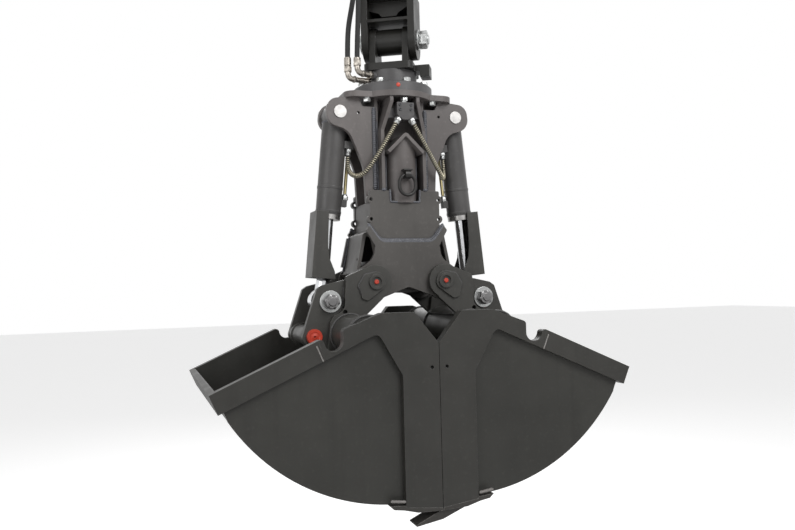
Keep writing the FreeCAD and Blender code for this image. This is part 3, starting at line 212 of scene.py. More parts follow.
def facing(spot: Array, axis: Triple, spin: float = 0.0) -> Array:
    """Matrix that stands a solid made along +Z at a spot, along an axis, turned by spin degrees.

    Args:
        spot: place of the origin in metres.
        axis: direction that +Z takes.
        spin: turn about that axis in degrees.
    Returns:
        The 4 by 4 matrix.
    """
    up = np.array(axis, float)
    up /= np.linalg.norm(up)
    helper = np.array([1.0, 0, 0]) if abs(up[0]) < 0.9 else np.array([0, 1.0, 0])
    side = np.cross(helper, up)
    side /= np.linalg.norm(side)
    front = np.cross(up, side)
    turn = math.radians(spin)
    first = side * math.cos(turn) + front * math.sin(turn)
    matrix = np.eye(4)
    matrix[:3, 0] = first
    matrix[:3, 1] = np.cross(up, first)
    matrix[:3, 2] = up
    matrix[:3, 3] = spot
    return matrix


def stations(path: Array, step: float) -> tuple[Array, Array]:
    """Points at even steps along a polyline, with their distances from its start.

    Args:
        path: the polyline in metres.
        step: wanted distance between points in metres.
    Returns:
        The points and their distances along the line.
    """
    lengths = np.linalg.norm(np.diff(path, axis=0), axis=1)
    along = np.concatenate([[0], np.cumsum(lengths)])
    count = max(3, int(round(along[-1] / step)) + 1)
    wanted = np.linspace(0, along[-1], count)
    points = np.stack([np.interp(wanted, along, path[:, k]) for k in range(3)], -1)
    return points, wanted


def swept(path: Array, radius: Array, closed: bool = False) -> Solid:
    """Tube along a path: p + r (n cos a + b sin a), with n and b square to the path.

    Args:
        path: (rows, 3) centre line.
        radius: (rows, columns) radius at each row and angle.
        closed: whether the path joins its own start.
    Returns:
        The tube, capped unless closed.
    """
    ahead = np.gradient(path, axis=0)
    if closed:
        ahead = np.roll(path, -1, 0) - np.roll(path, 1, 0)
    ahead /= np.linalg.norm(ahead, axis=1, keepdims=True)
    spread = np.abs(ahead).max(0)
    reference = np.eye(3)[np.argmin(spread)] + 0.13 * np.eye(3)[(np.argmin(spread) + 1) % 3]
    normal = np.cross(ahead, reference)
    normal /= np.linalg.norm(normal, axis=1, keepdims=True)
    binormal = np.cross(ahead, normal)
    angle = np.linspace(0, 2 * np.pi, radius.shape[1], endpoint=False)
    ring = normal[:, None] * np.cos(angle)[None, :, None] + binormal[:, None] * np.sin(angle)[None, :, None]
    return grid(path[:, None] + radius[..., None] * ring, closed)


def bead(corners: list[Array], size: float, closed: bool = False) -> Solid:
    """Weld bead: a tube whose radius ripples along it, each ripple bowed back at its sides.

    The radius is r (1 + 0.16 cos(2 pi s / pitch + 1.4 cos a)), tapering to 0.55 r at free ends.

    Args:
        corners: the line that the bead follows, in metres.
        size: half its width in millimetres.
        closed: whether it joins its own start.
    Returns:
        The bead.
    """
    path = np.array(corners)
    if closed:
        path = np.vstack([path, path[:1]])
    pitch = size * 0.0010
    points, along = stations(path, pitch / 4)
    if closed:
        points, along = points[:-1], along[:-1]
    angle = np.linspace(0, 2 * np.pi, 10, endpoint=False)
    wave = 1 + 0.16 * np.cos(2 * np.pi * along[:, None] / pitch + 1.4 * np.cos(angle)[None])
    wander = 1 + 0.05 * np.sin(along * 310.0) + 0.04 * np.sin(along * 811.0)
    radius = size / 1000.0 * wave * wander[:, None]
    if not closed:
        end = np.minimum(along, along[-1] - along)[:, None] / (size / 1000.0)
        radius *= np.clip(0.55 + 0.45 * end, 0.55, 1)
    return swept(points, radius, closed)


def circle(centre: Array, radius: float, axis: Triple, start: float = 0.0,
           stop: float = 360.0) -> list[Array]:
    """Points round a circle of a radius in millimetres, about an axis, between two angles.

    Args:
        centre: its centre in metres.
        radius: in millimetres.
        axis: the direction that it faces.
        start: first angle in degrees.
        stop: last angle in degrees.
    Returns:
        The points in order.
    """
    count = max(8, int(abs(stop - start) / 6))
    angle = np.radians(np.linspace(start, stop, count, endpoint=abs(stop - start) < 360))
    local = np.stack([np.cos(angle), np.sin(angle), np.zeros_like(angle)], -1) * radius / 1000.0
    matrix = facing(centre, axis)
    return list(local @ matrix[:3, :3].T + matrix[:3, 3])


# ================= finishes =================

class Graph:
    """Small helper that adds and joins the nodes of one material."""

    def __init__(self, name: str) -> None:
        """Start an empty material with its output and surface shader.

        Args:
            name: the material's name.
        """
        self.material = bpy.data.materials.new(name)
        self.material.use_nodes = True
        self.tree = self.material.node_tree
        self.shader = next(n for n in self.tree.nodes if n.type == "BSDF_PRINCIPLED")
        self.place = self.add("ShaderNodeTexCoord").outputs["Object"]

    def add(self, kind: str, **settings: object) -> bpy.types.Node:
        """Add a node and set its inputs or properties by name.

        Args:
            kind: the node's type name.
            settings: socket values or node properties; an output socket is linked.
        Returns:
            The node.
        """
        node = self.tree.nodes.new(kind)
        for key, value in settings.items():
            label = key.replace("_", " ")
            socket = node.inputs.get(label)
            if socket is None:
                setattr(node, key, value)
            elif isinstance(value, bpy.types.NodeSocket):
                self.tree.links.new(value, socket)
            else:
                socket.default_value = value
        return node

    def noise(self, scale: float, detail: float = 4.0, place: object = None) -> bpy.types.NodeSocket:
        """Noise value on object coordinates, in cycles per metre."""
        node = self.add("ShaderNodeTexNoise", Vector=place or self.place, Scale=scale, Detail=detail)
        return node.outputs["Fac"]

    def ramp(self, value: bpy.types.NodeSocket, low: float, high: float,
             first: float = 0.0, last: float = 1.0) -> bpy.types.NodeSocket:
        """Value mapped from low..high to first..last, held at the ends."""
        node = self.add("ShaderNodeMapRange", Value=value, From_Min=low, From_Max=high,
                        To_Min=first, To_Max=last)
        return node.outputs["Result"]

    def mixed(self, share: bpy.types.NodeSocket, first: object, second: object) -> bpy.types.NodeSocket:
        """Colour mixed from first to second by a share.

        Args:
            share: 0 for the first colour, 1 for the second.
            first: a colour or an output socket.
            second: a colour or an output socket.
        Returns:
            The mixed colour.
        """
        node = self.add("ShaderNodeMix", data_type="RGBA")
        self.tree.links.new(share, node.inputs[0])
        for socket, value in ((node.inputs[6], first), (node.inputs[7], second)):
            if isinstance(value, bpy.types.NodeSocket):
                self.tree.links.new(value, socket)
            else:
                socket.default_value = (*value, 1.0)
        return node.outputs[2]

    def sum(self, kind: str, first: object, second: object) -> bpy.types.NodeSocket:
        """Result of a Math node on two values or sockets.

        Args:
            kind: the node's operation.
            first: a number or an output socket.
            second: a number or an output socket.
        Returns:
            The result.
        """
        node = self.add("ShaderNodeMath", operation=kind)
        for socket, value in zip(node.inputs, (first, second)):
            if isinstance(value, bpy.types.NodeSocket):
                self.tree.links.new(value, socket)
            else:
                socket.default_value = value
        return node.outputs[0]

    def edges(self, radius: float) -> tuple[bpy.types.NodeSocket, bpy.types.NodeSocket]:
        """Rounded normal at edges, and a mask that is 1 on an edge and 0 on a flat.

        Args:
            radius: how far the rounding reaches, in metres.
        Returns:
            The normal and the mask.
        """
        rounded = self.add("ShaderNodeBevel", samples=6, Radius=radius).outputs["Normal"]
        plain = self.add("ShaderNodeNewGeometry").outputs["Normal"]
        dot = self.add("ShaderNodeVectorMath", operation="DOT_PRODUCT")
        self.tree.links.new(rounded, dot.inputs[0])
        self.tree.links.new(plain, dot.inputs[1])
        return rounded, self.ramp(dot.outputs["Value"], 0.995, 0.86)

    def bump(self, height: bpy.types.NodeSocket, depth: float, normal: object = None) -> bpy.types.NodeSocket:
        """Normal of a surface raised by a height value, depth in metres.

        Args:
            height: the height value.
            depth: how far a height of 1 rises, in metres.
            normal: the normal that it starts from.
        Returns:
            The raised normal.
        """
        node = self.add("ShaderNodeBump", Height=height, Distance=depth, Strength=1.0)
        if normal is not None:
            self.tree.links.new(normal, node.inputs["Normal"])
        return node.outputs["Normal"]

    def set(self, **sockets: object) -> None:
        """Set or link the surface shader's sockets by name."""
        for key, value in sockets.items():
            socket = self.shader.inputs[key.replace("_", " ")]
            if isinstance(value, bpy.types.NodeSocket):
                self.tree.links.new(value, socket)
            else:
                socket.default_value = value


@dataclass(frozen=True)
class Finish:
    """Surface finish: its name, colour, roughness and how metallic it is."""

    name: str
    colour: Triple
    roughness: float = 0.5
    metallic: float = 0.0

    def material(self) -> bpy.types.Material:
        """The finish's material, made once."""
        found = bpy.data.materials.get(self.name)
        return found or self.paint(Graph(self.name))

    def paint(self, graph: Graph) -> bpy.types.Material:
        """Fill the graph; each kind of finish has its own way."""
        raise NotImplementedError

    def darker(self, share: float) -> Triple:
        """The colour times a share."""
        return tuple(channel * share for channel in self.colour)


@dataclass(frozen=True)
class SatinPaint(Finish):
    """Sprayed satin paint on steel plate: mottling, dust, runs of grime, orange peel and lighter edges,
    partly rubbed bare and partly a painted highlight.
    """

    # edge colour: partly rubbed paint, partly a painted highlight where rounded edges catch light
    edge: Triple = (0.13, 0.125, 0.12)
    wear: float = 0.45
    peel: float = 0.00012
    gloss: float = 0.3

    def paint(self, graph: Graph) -> bpy.types.Material:
        """Mottled colour with edges lightened, partly by rubbing and partly as a painted highlight, over a
        rounded, finely dimpled normal.

        Args:
            graph: an empty material.
        Returns:
            The filled material.
        """
        rounded, edge = graph.edges(0.0020)
        broad = graph.noise(3.5, 5.0)
        fine = graph.noise(70.0, 6.0)
        body = graph.mixed(graph.ramp(broad, 0.35, 0.7), self.darker(0.86), self.darker(1.16))
        runs = graph.add("ShaderNodeMapping", Vector=graph.place, Scale=(26.0, 26.0, 2.2)).outputs["Vector"]
        streak = graph.ramp(graph.noise(1.0, 5.0, runs), 0.52, 0.74, 0.0, 0.35)
        grimy = graph.mixed(streak, body, self.darker(0.62))
        dusty = graph.mixed(graph.ramp(fine, 0.56, 0.78, 0.0, 0.3), grimy, self.darker(1.8))
        # edges lightened towards the edge colour: partly rubbed paint, partly a painted highlight
        rubbed_and_highlit = graph.sum("MULTIPLY", edge, graph.ramp(fine, 0.38, 0.6, 0.25 * self.wear, self.wear))
        colour = graph.mixed(rubbed_and_highlit, dusty, self.edge)
        rough = graph.ramp(graph.noise(14.0, 5.0), 0.3, 0.7, self.roughness - 0.06, self.roughness + 0.08)
        peel = graph.bump(graph.noise(420.0, 2.0), self.peel, rounded)
        normal = graph.bump(graph.noise(38.0, 3.0), 0.00025, peel)
        graph.set(Base_Color=colour, Roughness=rough, Normal=normal, Metallic=self.metallic,
                  Specular_IOR_Level=self.gloss)
        return graph.material


@dataclass(frozen=True)
class BareMetal(Finish):
    """Plated or turned steel: fine scratches, clouded roughness and dull spots."""

    grain: float = 900.0
    scratch: float = 0.00003

    def paint(self, graph: Graph) -> bpy.types.Material:
        """Clouded colour and roughness with fine scratches in the normal, and edges lightened as a painted
        highlight.

        Args:
            graph: an empty material.
        Returns:
            The filled material.
        """
        rounded, edge = graph.edges(0.0008)
        cloud = graph.noise(45.0, 5.0)
        colour = graph.mixed(graph.ramp(cloud, 0.35, 0.7), self.darker(0.78), self.colour)
        # painted highlight: edge colour up to 1.2 times lighter
        bright = graph.mixed(graph.ramp(edge, 0, 1, 0, 0.5), colour, self.darker(1.2))
        rough = graph.ramp(graph.noise(120.0, 4.0), 0.3, 0.7, self.roughness - 0.06, self.roughness + 0.1)
        normal = graph.bump(graph.noise(self.grain, 3.0), self.scratch, rounded)
        graph.set(Base_Color=bright, Roughness=rough, Normal=normal, Metallic=self.metallic)
        return graph.material


@dataclass(frozen=True)
class Moulded(Finish):
    """Moulded plastic or rubber: even colour, slight bloom and a fine texture."""

    texture: float = 0.00004

    def paint(self, graph: Graph) -> bpy.types.Material:
        """Even colour with a little bloom and fine texture.

        Args:
            graph: an empty material.
        Returns:
            The filled material.
        """
        bloom = graph.noise(60.0, 4.0)
        colour = graph.mixed(graph.ramp(bloom, 0.4, 0.75), self.colour, self.darker(1.25))
        rough = graph.ramp(graph.noise(150.0, 3.0), 0.3, 0.7, self.roughness - 0.05, self.roughness + 0.08)
        normal = graph.bump(graph.noise(1500.0, 2.0), self.texture)
        graph.set(Base_Color=colour, Roughness=rough, Normal=normal, Metallic=self.metallic)
        return graph.material


PAINT = SatinPaint("shell_paint", (0.0255, 0.025, 0.0222), 0.42)
CHEEK_PAINT = SatinPaint("cheek_paint", (0.0270, 0.0262, 0.0235), 0.42)
LEVER_PAINT = SatinPaint("lever_paint", (0.046, 0.045, 0.041), 0.40)
LEVER_WELD = SatinPaint("lever_weld_paint", (0.062, 0.061, 0.060), 0.34, edge=(0.15, 0.15, 0.15),
                        peel=0.00025)
CROSS_PAINT = SatinPaint("cross_plate_paint", (0.066, 0.062, 0.058), 0.40)
UPPER_PAINT = SatinPaint("upper_frame_paint", (0.104, 0.094, 0.091), 0.40, edge=(0.19, 0.185, 0.18))
BARREL_PAINT = SatinPaint("cylinder_paint", (0.062, 0.060, 0.059), 0.36, edge=(0.18, 0.18, 0.18))
FLANGE_PAINT = SatinPaint("head_paint", (0.078, 0.076, 0.077), 0.38, edge=(0.2, 0.2, 0.2))
HANGER_PAINT = SatinPaint("hanger_paint", (0.0135, 0.0130, 0.0115), 0.38, edge=(0.08, 0.08, 0.075))
# near-black paint of the shackle ring; the ring lug wears it too, as painted shade
RING_PAINT_AND_LUG_SHADE = SatinPaint("ring_paint_and_lug_shade", (0.020, 0.019, 0.018), 0.34, edge=(0.10, 0.10, 0.095))
KNIFE = SatinPaint("knife_paint", (0.033, 0.031, 0.028), 0.45, edge=(0.22, 0.21, 0.20), wear=0.9)
WELD = SatinPaint("weld_paint", (0.085, 0.088, 0.100), 0.30, edge=(0.22, 0.22, 0.24), peel=0.00025, gloss=0.5)
BARE_WELD = SatinPaint("worn_weld", (0.155, 0.145, 0.138), 0.38, edge=(0.4, 0.39, 0.37), wear=0.8, gloss=0.5)
CHROME = BareMetal("hard_chrome", (0.74, 0.75, 0.77), 0.12, 1.0, grain=300.0, scratch=0.000006)
ZINC = BareMetal("bright_zinc", (0.52, 0.53, 0.525), 0.32, 1.0)
NUT_ZINC = BareMetal("dull_zinc", (0.235, 0.232, 0.232), 0.36, 1.0)
YELLOWED_ZINC = BareMetal("clear_zinc_fitting", (0.44, 0.405, 0.36), 0.30, 1.0)
YELLOW_ZINC = BareMetal("yellow_zinc", (0.54, 0.47, 0.31), 0.34, 1.0)
SPRING = BareMetal("guard_spring", (0.50, 0.46, 0.35), 0.30, 1.0)
PIN = BareMetal("turned_steel", (0.42, 0.41, 0.40), 0.36, 1.0)
BLACK_OXIDE = BareMetal("black_oxide", (0.045, 0.045, 0.048), 0.36, 0.6)
BRONZE = BareMetal("bush_bronze", (0.50, 0.36, 0.16), 0.35, 1.0)
BLOCK = SatinPaint("valve_block_coat", (0.052, 0.050, 0.050), 0.34, edge=(0.16, 0.16, 0.16))
RED_CAP = Moulded("red_cap", (0.42, 0.040, 0.020), 0.35)
RUBBER = Moulded("hose_rubber", (0.012, 0.012, 0.012), 0.42, texture=0.00012)


# ================= sub-assemblies =================

@dataclass
class Studio:
    """Camera, lamps, sky and floor."""

    focal_pixels: float = 751.1
    image_width: float = 795.0
    place: Triple = (-898.2, -2540.0, -16.0)
    yaw: float = 19.53
    pitch: float = 1.607
    roll: float = -1.435
    floor: float = -2.62

    def camera(self) -> None:
        """Make the camera at its measured place, turned by yaw, pitch and roll."""
        yaw, pitch, roll = (math.radians(a) for a in (self.yaw, self.pitch, self.roll))
        right = np.array([math.cos(yaw), -math.sin(yaw), 0.0])
        ahead = np.array([math.sin(yaw) * math.cos(pitch), math.cos(yaw) * math.cos(pitch), math.sin(pitch)])
        up = np.cross(right, ahead)
        across = math.cos(roll) * right + math.sin(roll) * up
        upright = -math.sin(roll) * right + math.cos(roll) * up
        data = bpy.data.cameras.new("camera")
        data.sensor_width = 36.0
        data.lens = self.focal_pixels / self.image_width * data.sensor_width
        data.clip_start, data.clip_end = 0.05, 60.0
        camera = bpy.data.objects.new("camera", data)
        bpy.context.scene.collection.objects.link(camera)
        matrix = np.eye(4)
        matrix[:3, 0], matrix[:3, 1], matrix[:3, 2] = across, upright, -ahead
        matrix[:3, 3] = at(*self.place)
        camera.matrix_world = Matrix(matrix)
        bpy.context.scene.camera = camera

    def lamp(self, name: str, spot: Triple, target: Triple, size: float, power: float) -> None:
        """Square soft lamp at a spot, facing a target, in metres and watts.

        Args:
            name: the lamp's name.
            spot: where it stands.
            target: what it faces.
            size: width of its square.
            power: its power.
        """
        data = bpy.data.lights.new(name, "AREA")
        data.shape, data.size, data.energy = "SQUARE", size, power
        lamp = bpy.data.objects.new(name, data)
        bpy.context.scene.collection.objects.link(lamp)
        axis = np.array(spot) - np.array(target)
        lamp.matrix_world = Matrix(facing(np.array(spot), tuple(axis)))

    def sky(self) -> None:
        """Even pale sky that the camera and mirrors see as white."""
        world = bpy.data.worlds.new("sky")
        bpy.context.scene.world = world
        world.use_nodes = True
        nodes, links = world.node_tree.nodes, world.node_tree.links
        path = nodes.new("ShaderNodeLightPath")
        seen = nodes.new("ShaderNodeMath")
        seen.operation = "MAXIMUM"
        bent = nodes.new("ShaderNodeMath")
        bent.operation = "MAXIMUM"
        links.new(path.outputs["Is Glossy Ray"], bent.inputs[0])
        links.new(path.outputs["Is Transmission Ray"], bent.inputs[1])
        links.new(path.outputs["Is Camera Ray"], seen.inputs[0])
        links.new(bent.outputs[0], seen.inputs[1])
        strength = nodes.new("ShaderNodeMapRange")
        strength.inputs["To Min"].default_value = 0.55
        strength.inputs["To Max"].default_value = 1.0
        links.new(seen.outputs[0], strength.inputs["Value"])
        back = nodes["Background"]
        back.inputs["Color"].default_value = (1, 1, 1, 1)
        links.new(strength.outputs["Result"], back.inputs["Strength"])

    def ground(self) -> None:
        """Wide pale floor under the hanging bucket."""
        mesh = bpy.data.meshes.new("floor")
        reach = 30.0
        corners = [(-reach, -reach), (reach, -reach), (reach, reach), (-reach, reach)]
        mesh.from_pydata([(x, y, self.floor) for x, y in corners], [], [(0, 1, 2, 3)])
        floor = bpy.data.objects.new("floor", mesh)
        bpy.context.scene.collection.objects.link(floor)
        material = bpy.data.materials.new("pale_floor")
        material.use_nodes = True
        tree = material.node_tree
        shader = next(n for n in tree.nodes if n.type == "BSDF_PRINCIPLED")
        shader.inputs["Base Color"].default_value = (0.86, 0.86, 0.86, 1)
        shader.inputs["Roughness"].default_value = 0.9
        path = tree.nodes.new("ShaderNodeLightPath")
        glow = tree.nodes.new("ShaderNodeMath")
        glow.operation = "MULTIPLY"
        glow.inputs[1].default_value = 0.32
        tree.links.new(path.outputs["Is Camera Ray"], glow.inputs[0])
        shader.inputs["Emission Color"].default_value = (1, 1, 1, 1)
        tree.links.new(glow.outputs[0], shader.inputs["Emission Strength"])
        mesh.materials.append(material)

    def build(self) -> None:
        """Make everything round the object."""
        bpy.context.scene.view_settings.view_transform = "Standard"
        self.camera()
        self.sky()
        self.ground()
        middle = (0.0, 0.0, -1.0)
        self.lamp("key_lamp", (1.3, -4.0, 2.2), middle, 2.6, 190.0)
        self.lamp("side_lamp", (-3.6, -2.4, -0.2), middle, 2.4, 45.0)
        self.lamp("back_lamp", (0.8, 3.6, 1.8), middle, 2.4, 90.0)
        log.info("studio ready")


@dataclass
class Hoses:
    """The two spring-guarded hoses and the two feed hoses."""

    outside: float = 8.0
    core: float = 6.2
    guard_radius: float = 6.9
    wire: float = 1.9
    pitch: float = 7.4
    feed_radius: float = 9.0
    guarded: tuple[Triple, ...] = (
        (-32.0, -120.0, 545.0), (-60.0, -119.5, 497.0), (-88.0, -116.0, 450.0), (-115.0, -108.0, 408.0),
        (-140.0, -98.0, 372.6), (-166.0, -54.2, 363.9), (-183.66, -22.0, 396.0), (-179.15, -22.0, 441.78))
    feeds: tuple[tuple[Triple, ...], ...] = (
        ((-177.0, -40.0, 782.0), (-176.0, -40.0, 842.0), (-170.0, -39.0, 902.0), (-158.0, -38.5, 960.0),
         (-147.0, -37.0, 1018.0), (-138.0, -36.0, 1062.0)),
        ((-149.0, -62.0, 778.0), (-148.0, -66.0, 838.0), (-147.0, -76.0, 898.0), (-148.0, -88.0, 956.0),
         (-150.0, -98.0, 1014.0), (-152.0, -106.0, 1062.0)))

    def route(self, name: str, points: list[Array], depth: float) -> bpy.types.Object:
        """Curve object of one smooth spline through control points, with a round section.

        Args:
            name: the curve's name.
            points: control points in metres.
            depth: radius of the section in metres, or 0 for a bare line.
        Returns:
            The curve object.
        """
        data = bpy.data.curves.new(name, "CURVE")
        data.dimensions = "3D"
        data.bevel_depth = depth
        data.bevel_resolution = 8
        data.use_fill_caps = True
        spline = data.splines.new("NURBS")
        spline.points.add(len(points) - 1)
        for spot, point in zip(points, spline.points):
            point.co = (*spot, 1.0)
        spline.order_u = 3
        spline.use_endpoint_u = True
        spline.resolution_u = 24
        curve = bpy.data.objects.new(name, data)
        bpy.context.scene.collection.objects.link(curve)
        return curve

    def centre_line(self, points: list[Array]) -> Array:
        """Points read from the smooth spline, in order along it.

        Args:
            points: control points in metres.
        Returns:
            The points of the smooth line.
        """
        curve = self.route("route", points, 0.0)
        bpy.context.view_layer.update()
        mesh = bpy.data.meshes.new_from_object(curve)
        line = np.zeros(len(mesh.vertices) * 3)
        mesh.vertices.foreach_get("co", line)
        bpy.data.objects.remove(curve)
        bpy.data.meshes.remove(mesh)
        return line.reshape(-1, 3)

    def guarded_hose(self, side: Side) -> None:
        """Rubber hose and the open wire coil wound round it, left on no body.

        The wire's centre is p + R (n cos b + u sin b), with b = 2 pi s / pitch along the hose.

        Args:
            side: which side the hose is on.
        """
        points = [at(side.value * -x, y, z) for x, y, z in self.guarded]
        line = self.centre_line(points)
        path, along = stations(line, self.pitch / 16000.0)
        turn = 2 * np.pi * along * 1000.0 / self.pitch
        ahead = np.gradient(path, axis=0)
        ahead /= np.linalg.norm(ahead, axis=1, keepdims=True)
        normal = np.cross(ahead, (0.13, 1.0, 0.0))
        normal /= np.linalg.norm(normal, axis=1, keepdims=True)
        upright = np.cross(ahead, normal)
        around = normal * np.cos(turn)[:, None] + upright * np.sin(turn)[:, None]
        winding = path + self.guard_radius / 1000.0 * around
        wire = swept(winding, np.full((len(winding), 8), self.wire / 1000.0))
        core, _ = stations(line, 0.004)
        hose = swept(core, np.full((len(core), 20), self.core / 1000.0))
        spring = wire.piece(f"{side.word}_spring_guard", SPRING, "", "hose_guard", 80.0)
        rubber = hose.piece(f"{side.word}_spring_hose", RUBBER, "", "hose_rubber", 60.0)
        for piece in (spring, rubber):
            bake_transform(piece)
        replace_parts(rubber, f"{side.word}_guarded_hose")
        length = float(np.linalg.norm(np.diff(line, axis=0), axis=1).sum())

    def feed_hose(self, index: int, name: str) -> None:
        """Plain rubber hose up to its coupling outside the view.

        Args:
            index: which of the feed routes it takes.
            name: the node that it stands for.
        """
        points = [at(*p) for p in self.feeds[index]]
        curve = self.route(f"{name}_rubber", points, self.feed_radius / 1000.0)
        curve.data.materials.append(RUBBER.material())
        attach(curve, "swivel_head")
        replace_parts(curve, name)
        length = float(np.linalg.norm(np.diff(self.centre_line(points), axis=0), axis=1).sum())
        log.info("%s: %.3f m", name, length)

    def build(self) -> None:
        """Make the four hoses."""
        for side in Side:
            self.guarded_hose(side)
        for index, name in enumerate(("feed_hose_outer", "feed_hose_inner")):
            self.feed_hose(index, name)


NODE_FINISH: dict[str, Finish] = {
    "knife": KNIFE, "piston_rod": CHROME, "shackle_ring": RING_PAINT_AND_LUG_SHADE, "hub_bushes": BRONZE,
    "shell_pin": PIN, "cylinder_pins": PIN, "cylinder_gland": PIN, "manifold_block": BLOCK,
    "cheek_plates": CHEEK_PAINT, "rim_frame": CHEEK_PAINT, "rod_guard": LEVER_PAINT,
    "lever_body": LEVER_PAINT,
    "lever_arms": LEVER_PAINT, "cross_tube": LEVER_PAINT, "hub_pin": LEVER_PAINT, "cross_plate": CROSS_PAINT,
    "side_webs": CROSS_PAINT, "hub_tubes": CROSS_PAINT, "mast_box": UPPER_PAINT, "ear_plates": UPPER_PAINT,
    # ring_lug takes the ring's near-black paint: painted shade over the lug's hood
    "top_plate": UPPER_PAINT, "guard_tube": UPPER_PAINT, "ring_lug": RING_PAINT_AND_LUG_SHADE,
    "cylinder_barrel": BARREL_PAINT,
    "rotor_flange": FLANGE_PAINT, "rotator_housing": FLANGE_PAINT, "swivel_head": HANGER_PAINT,
    "hanger_fork": HANGER_PAINT,
}


def dress_cad_nodes() -> None:
    """Give each carried-over node its finish."""
    for name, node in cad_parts.items():
        finish = next((f for key, f in NODE_FINISH.items() if name.endswith(key)), PAINT)
        node.data.materials.clear()
        node.data.materials.append(finish.material())
        log.info("%s dressed in %s", name, finish.name)


# ================= small hardware =================

def hex_nut(flats: float, height: float) -> Solid:
    """Hexagon nut standing on z = 0 with both rims chamfered by a cone.

    Args:
        flats: width across flats in millimetres.
        height: in millimetres.
    Returns:
        The nut.
    """
    corner = flats / math.sqrt(3)
    bevel = corner - flats / 2
    profile = [(0.0, 0.0), (flats / 2 * 0.97, 0.0), (corner, bevel * 0.6), (corner, height / 2),
               (corner, height - bevel * 0.6), (flats / 2 * 0.97, height), (flats / 2 * 0.7, height)]
    return six_sided(flats, profile)


def washer(radius: float, height: float) -> Solid:
    """Plain washer standing on z = 0 with softened rims."""
    soft = min(1.0, height / 4)
    return turned([(radius * 0.5, 0.0), (radius - soft, 0.0), (radius, soft), (radius, height - soft),
                   (radius - soft, height), (radius * 0.5, height)], 48)


def threaded_end(radius: float, start: float, stop: float, pitch: float = 2.5) -> Solid:
    """Threaded bolt end: radius R - d |2 frac(s / pitch - a / 2 pi) - 1|, a helix, with a coned tip.

    Args:
        radius: outside radius in millimetres.
        start: height where the thread starts.
        stop: height of the tip.
        pitch: of the thread, in millimetres.
    Returns:
        The threaded end.
    """
    steps = int((stop - start) / pitch * 6)
    along = np.linspace(start, stop, max(steps, 8))
    angle = np.linspace(0, 2 * np.pi, 36, endpoint=False)
    turn = (along[:, None] / pitch - angle[None] / (2 * np.pi)) % 1.0
    cut = pitch * 0.5 * np.abs(2 * turn - 1)
    tip = np.clip((along - (stop - pitch)) / pitch, 0, 1)[:, None] * pitch * 0.8
    size = (radius - np.maximum(cut, tip)) / 1000.0
    points = np.stack([size * np.cos(angle), size * np.sin(angle),
                       np.broadcast_to(along[:, None] / 1000.0, size.shape)], -1)
    return grid(points)


def socket_screw(radius: float, height: float) -> Solid:
    """Cylinder-head screw with a hexagon recess: rows change from round to six-sided at the recess.

    Args:
        radius: of the head in millimetres.
        height: of the head in millimetres.
    Returns:
        The screw's head.
    """
    angle = np.linspace(0, 2 * np.pi, 36, endpoint=False)
    folded = (angle + np.pi / 6) % (np.pi / 3) - np.pi / 6
    key = radius * 0.5 / np.cos(folded)
    round_row = np.ones_like(angle)
    rows = [(radius * round_row, 0.0), (radius * round_row, height - 0.6),
            ((radius - 0.6) * round_row, height),
            (key, height), (key * 0.98, height * 0.35)]
    points = np.stack([np.stack([row * np.cos(angle), row * np.sin(angle), np.full_like(angle, level)], -1)
                       for row, level in rows]) / 1000.0
    return grid(points)


def ferrule(radius: float, length: float, rings: int = 5) -> Solid:
    """Crimped sleeve: radius r (1 - 0.07 cos^2(pi rings s / length)) between two chamfered rims.

    Args:
        radius: in millimetres.
        length: in millimetres.
        rings: number of crimped rings.
    Returns:
        The sleeve.
    """
    along = np.linspace(0, length, rings * 8 + 1)
    wave = radius * (1 - 0.07 * np.cos(np.pi * rings * along / length) ** 2)
    profile = [(radius - 1.5, 0.0)] + list(zip(wave, along + 0.8)) + [(radius - 1.5, length + 1.6)]
    return turned([(float(r), float(z)) for r, z in profile], 32)


def face_bead(line: list[tuple[float, float]], face: float, size: float) -> Solid:
    """Bead along x, z pairs at a distance in front of the middle plane, all in millimetres."""
    return bead([at(x, -face, z) for x, z in line], size)


def upright_bead(side: int, line: Triple, heights: tuple[float, ...]) -> Solid:
    """Upright bead at a line's x and y, through the heights, its half width the line's third number."""
    x, y, size = line
    return bead([at(side * x, y, z) for z in heights], size)


MIRROR_X, MIRROR_Y = np.diag([-1.0, 1, 1, 1]), np.diag([1.0, -1, 1, 1])
FOUR_WAYS = [np.eye(4), MIRROR_X, MIRROR_Y, MIRROR_X @ MIRROR_Y]
HALF_TURN = MIRROR_X @ MIRROR_Y


def two_sides(solid: Solid, turn: Array, name: str, finish: Finish, body: str, slot: str,
              sharp: float = 35.0) -> dict[Side, bpy.types.Object]:
    """A left piece and its right twin, each on its own side's body.

    Args:
        solid: the left piece's surfaces.
        turn: matrix that makes the right piece from the left one.
        name: the name after the side.
        finish: the pieces' finish.
        body: the body's name after the side.
        slot: a material slot name, passed on to each piece, which does not use it.
        sharp: angle in degrees over which an edge stays sharp.
    Returns:
        The two objects by side.
    """
    placed = {Side.LEFT: solid, Side.RIGHT: solid.placed(turn)}
    return {side: shape.piece(f"{side.word}_{name}", finish, f"{side.word}_{body}", slot, sharp)
            for side, shape in placed.items()}


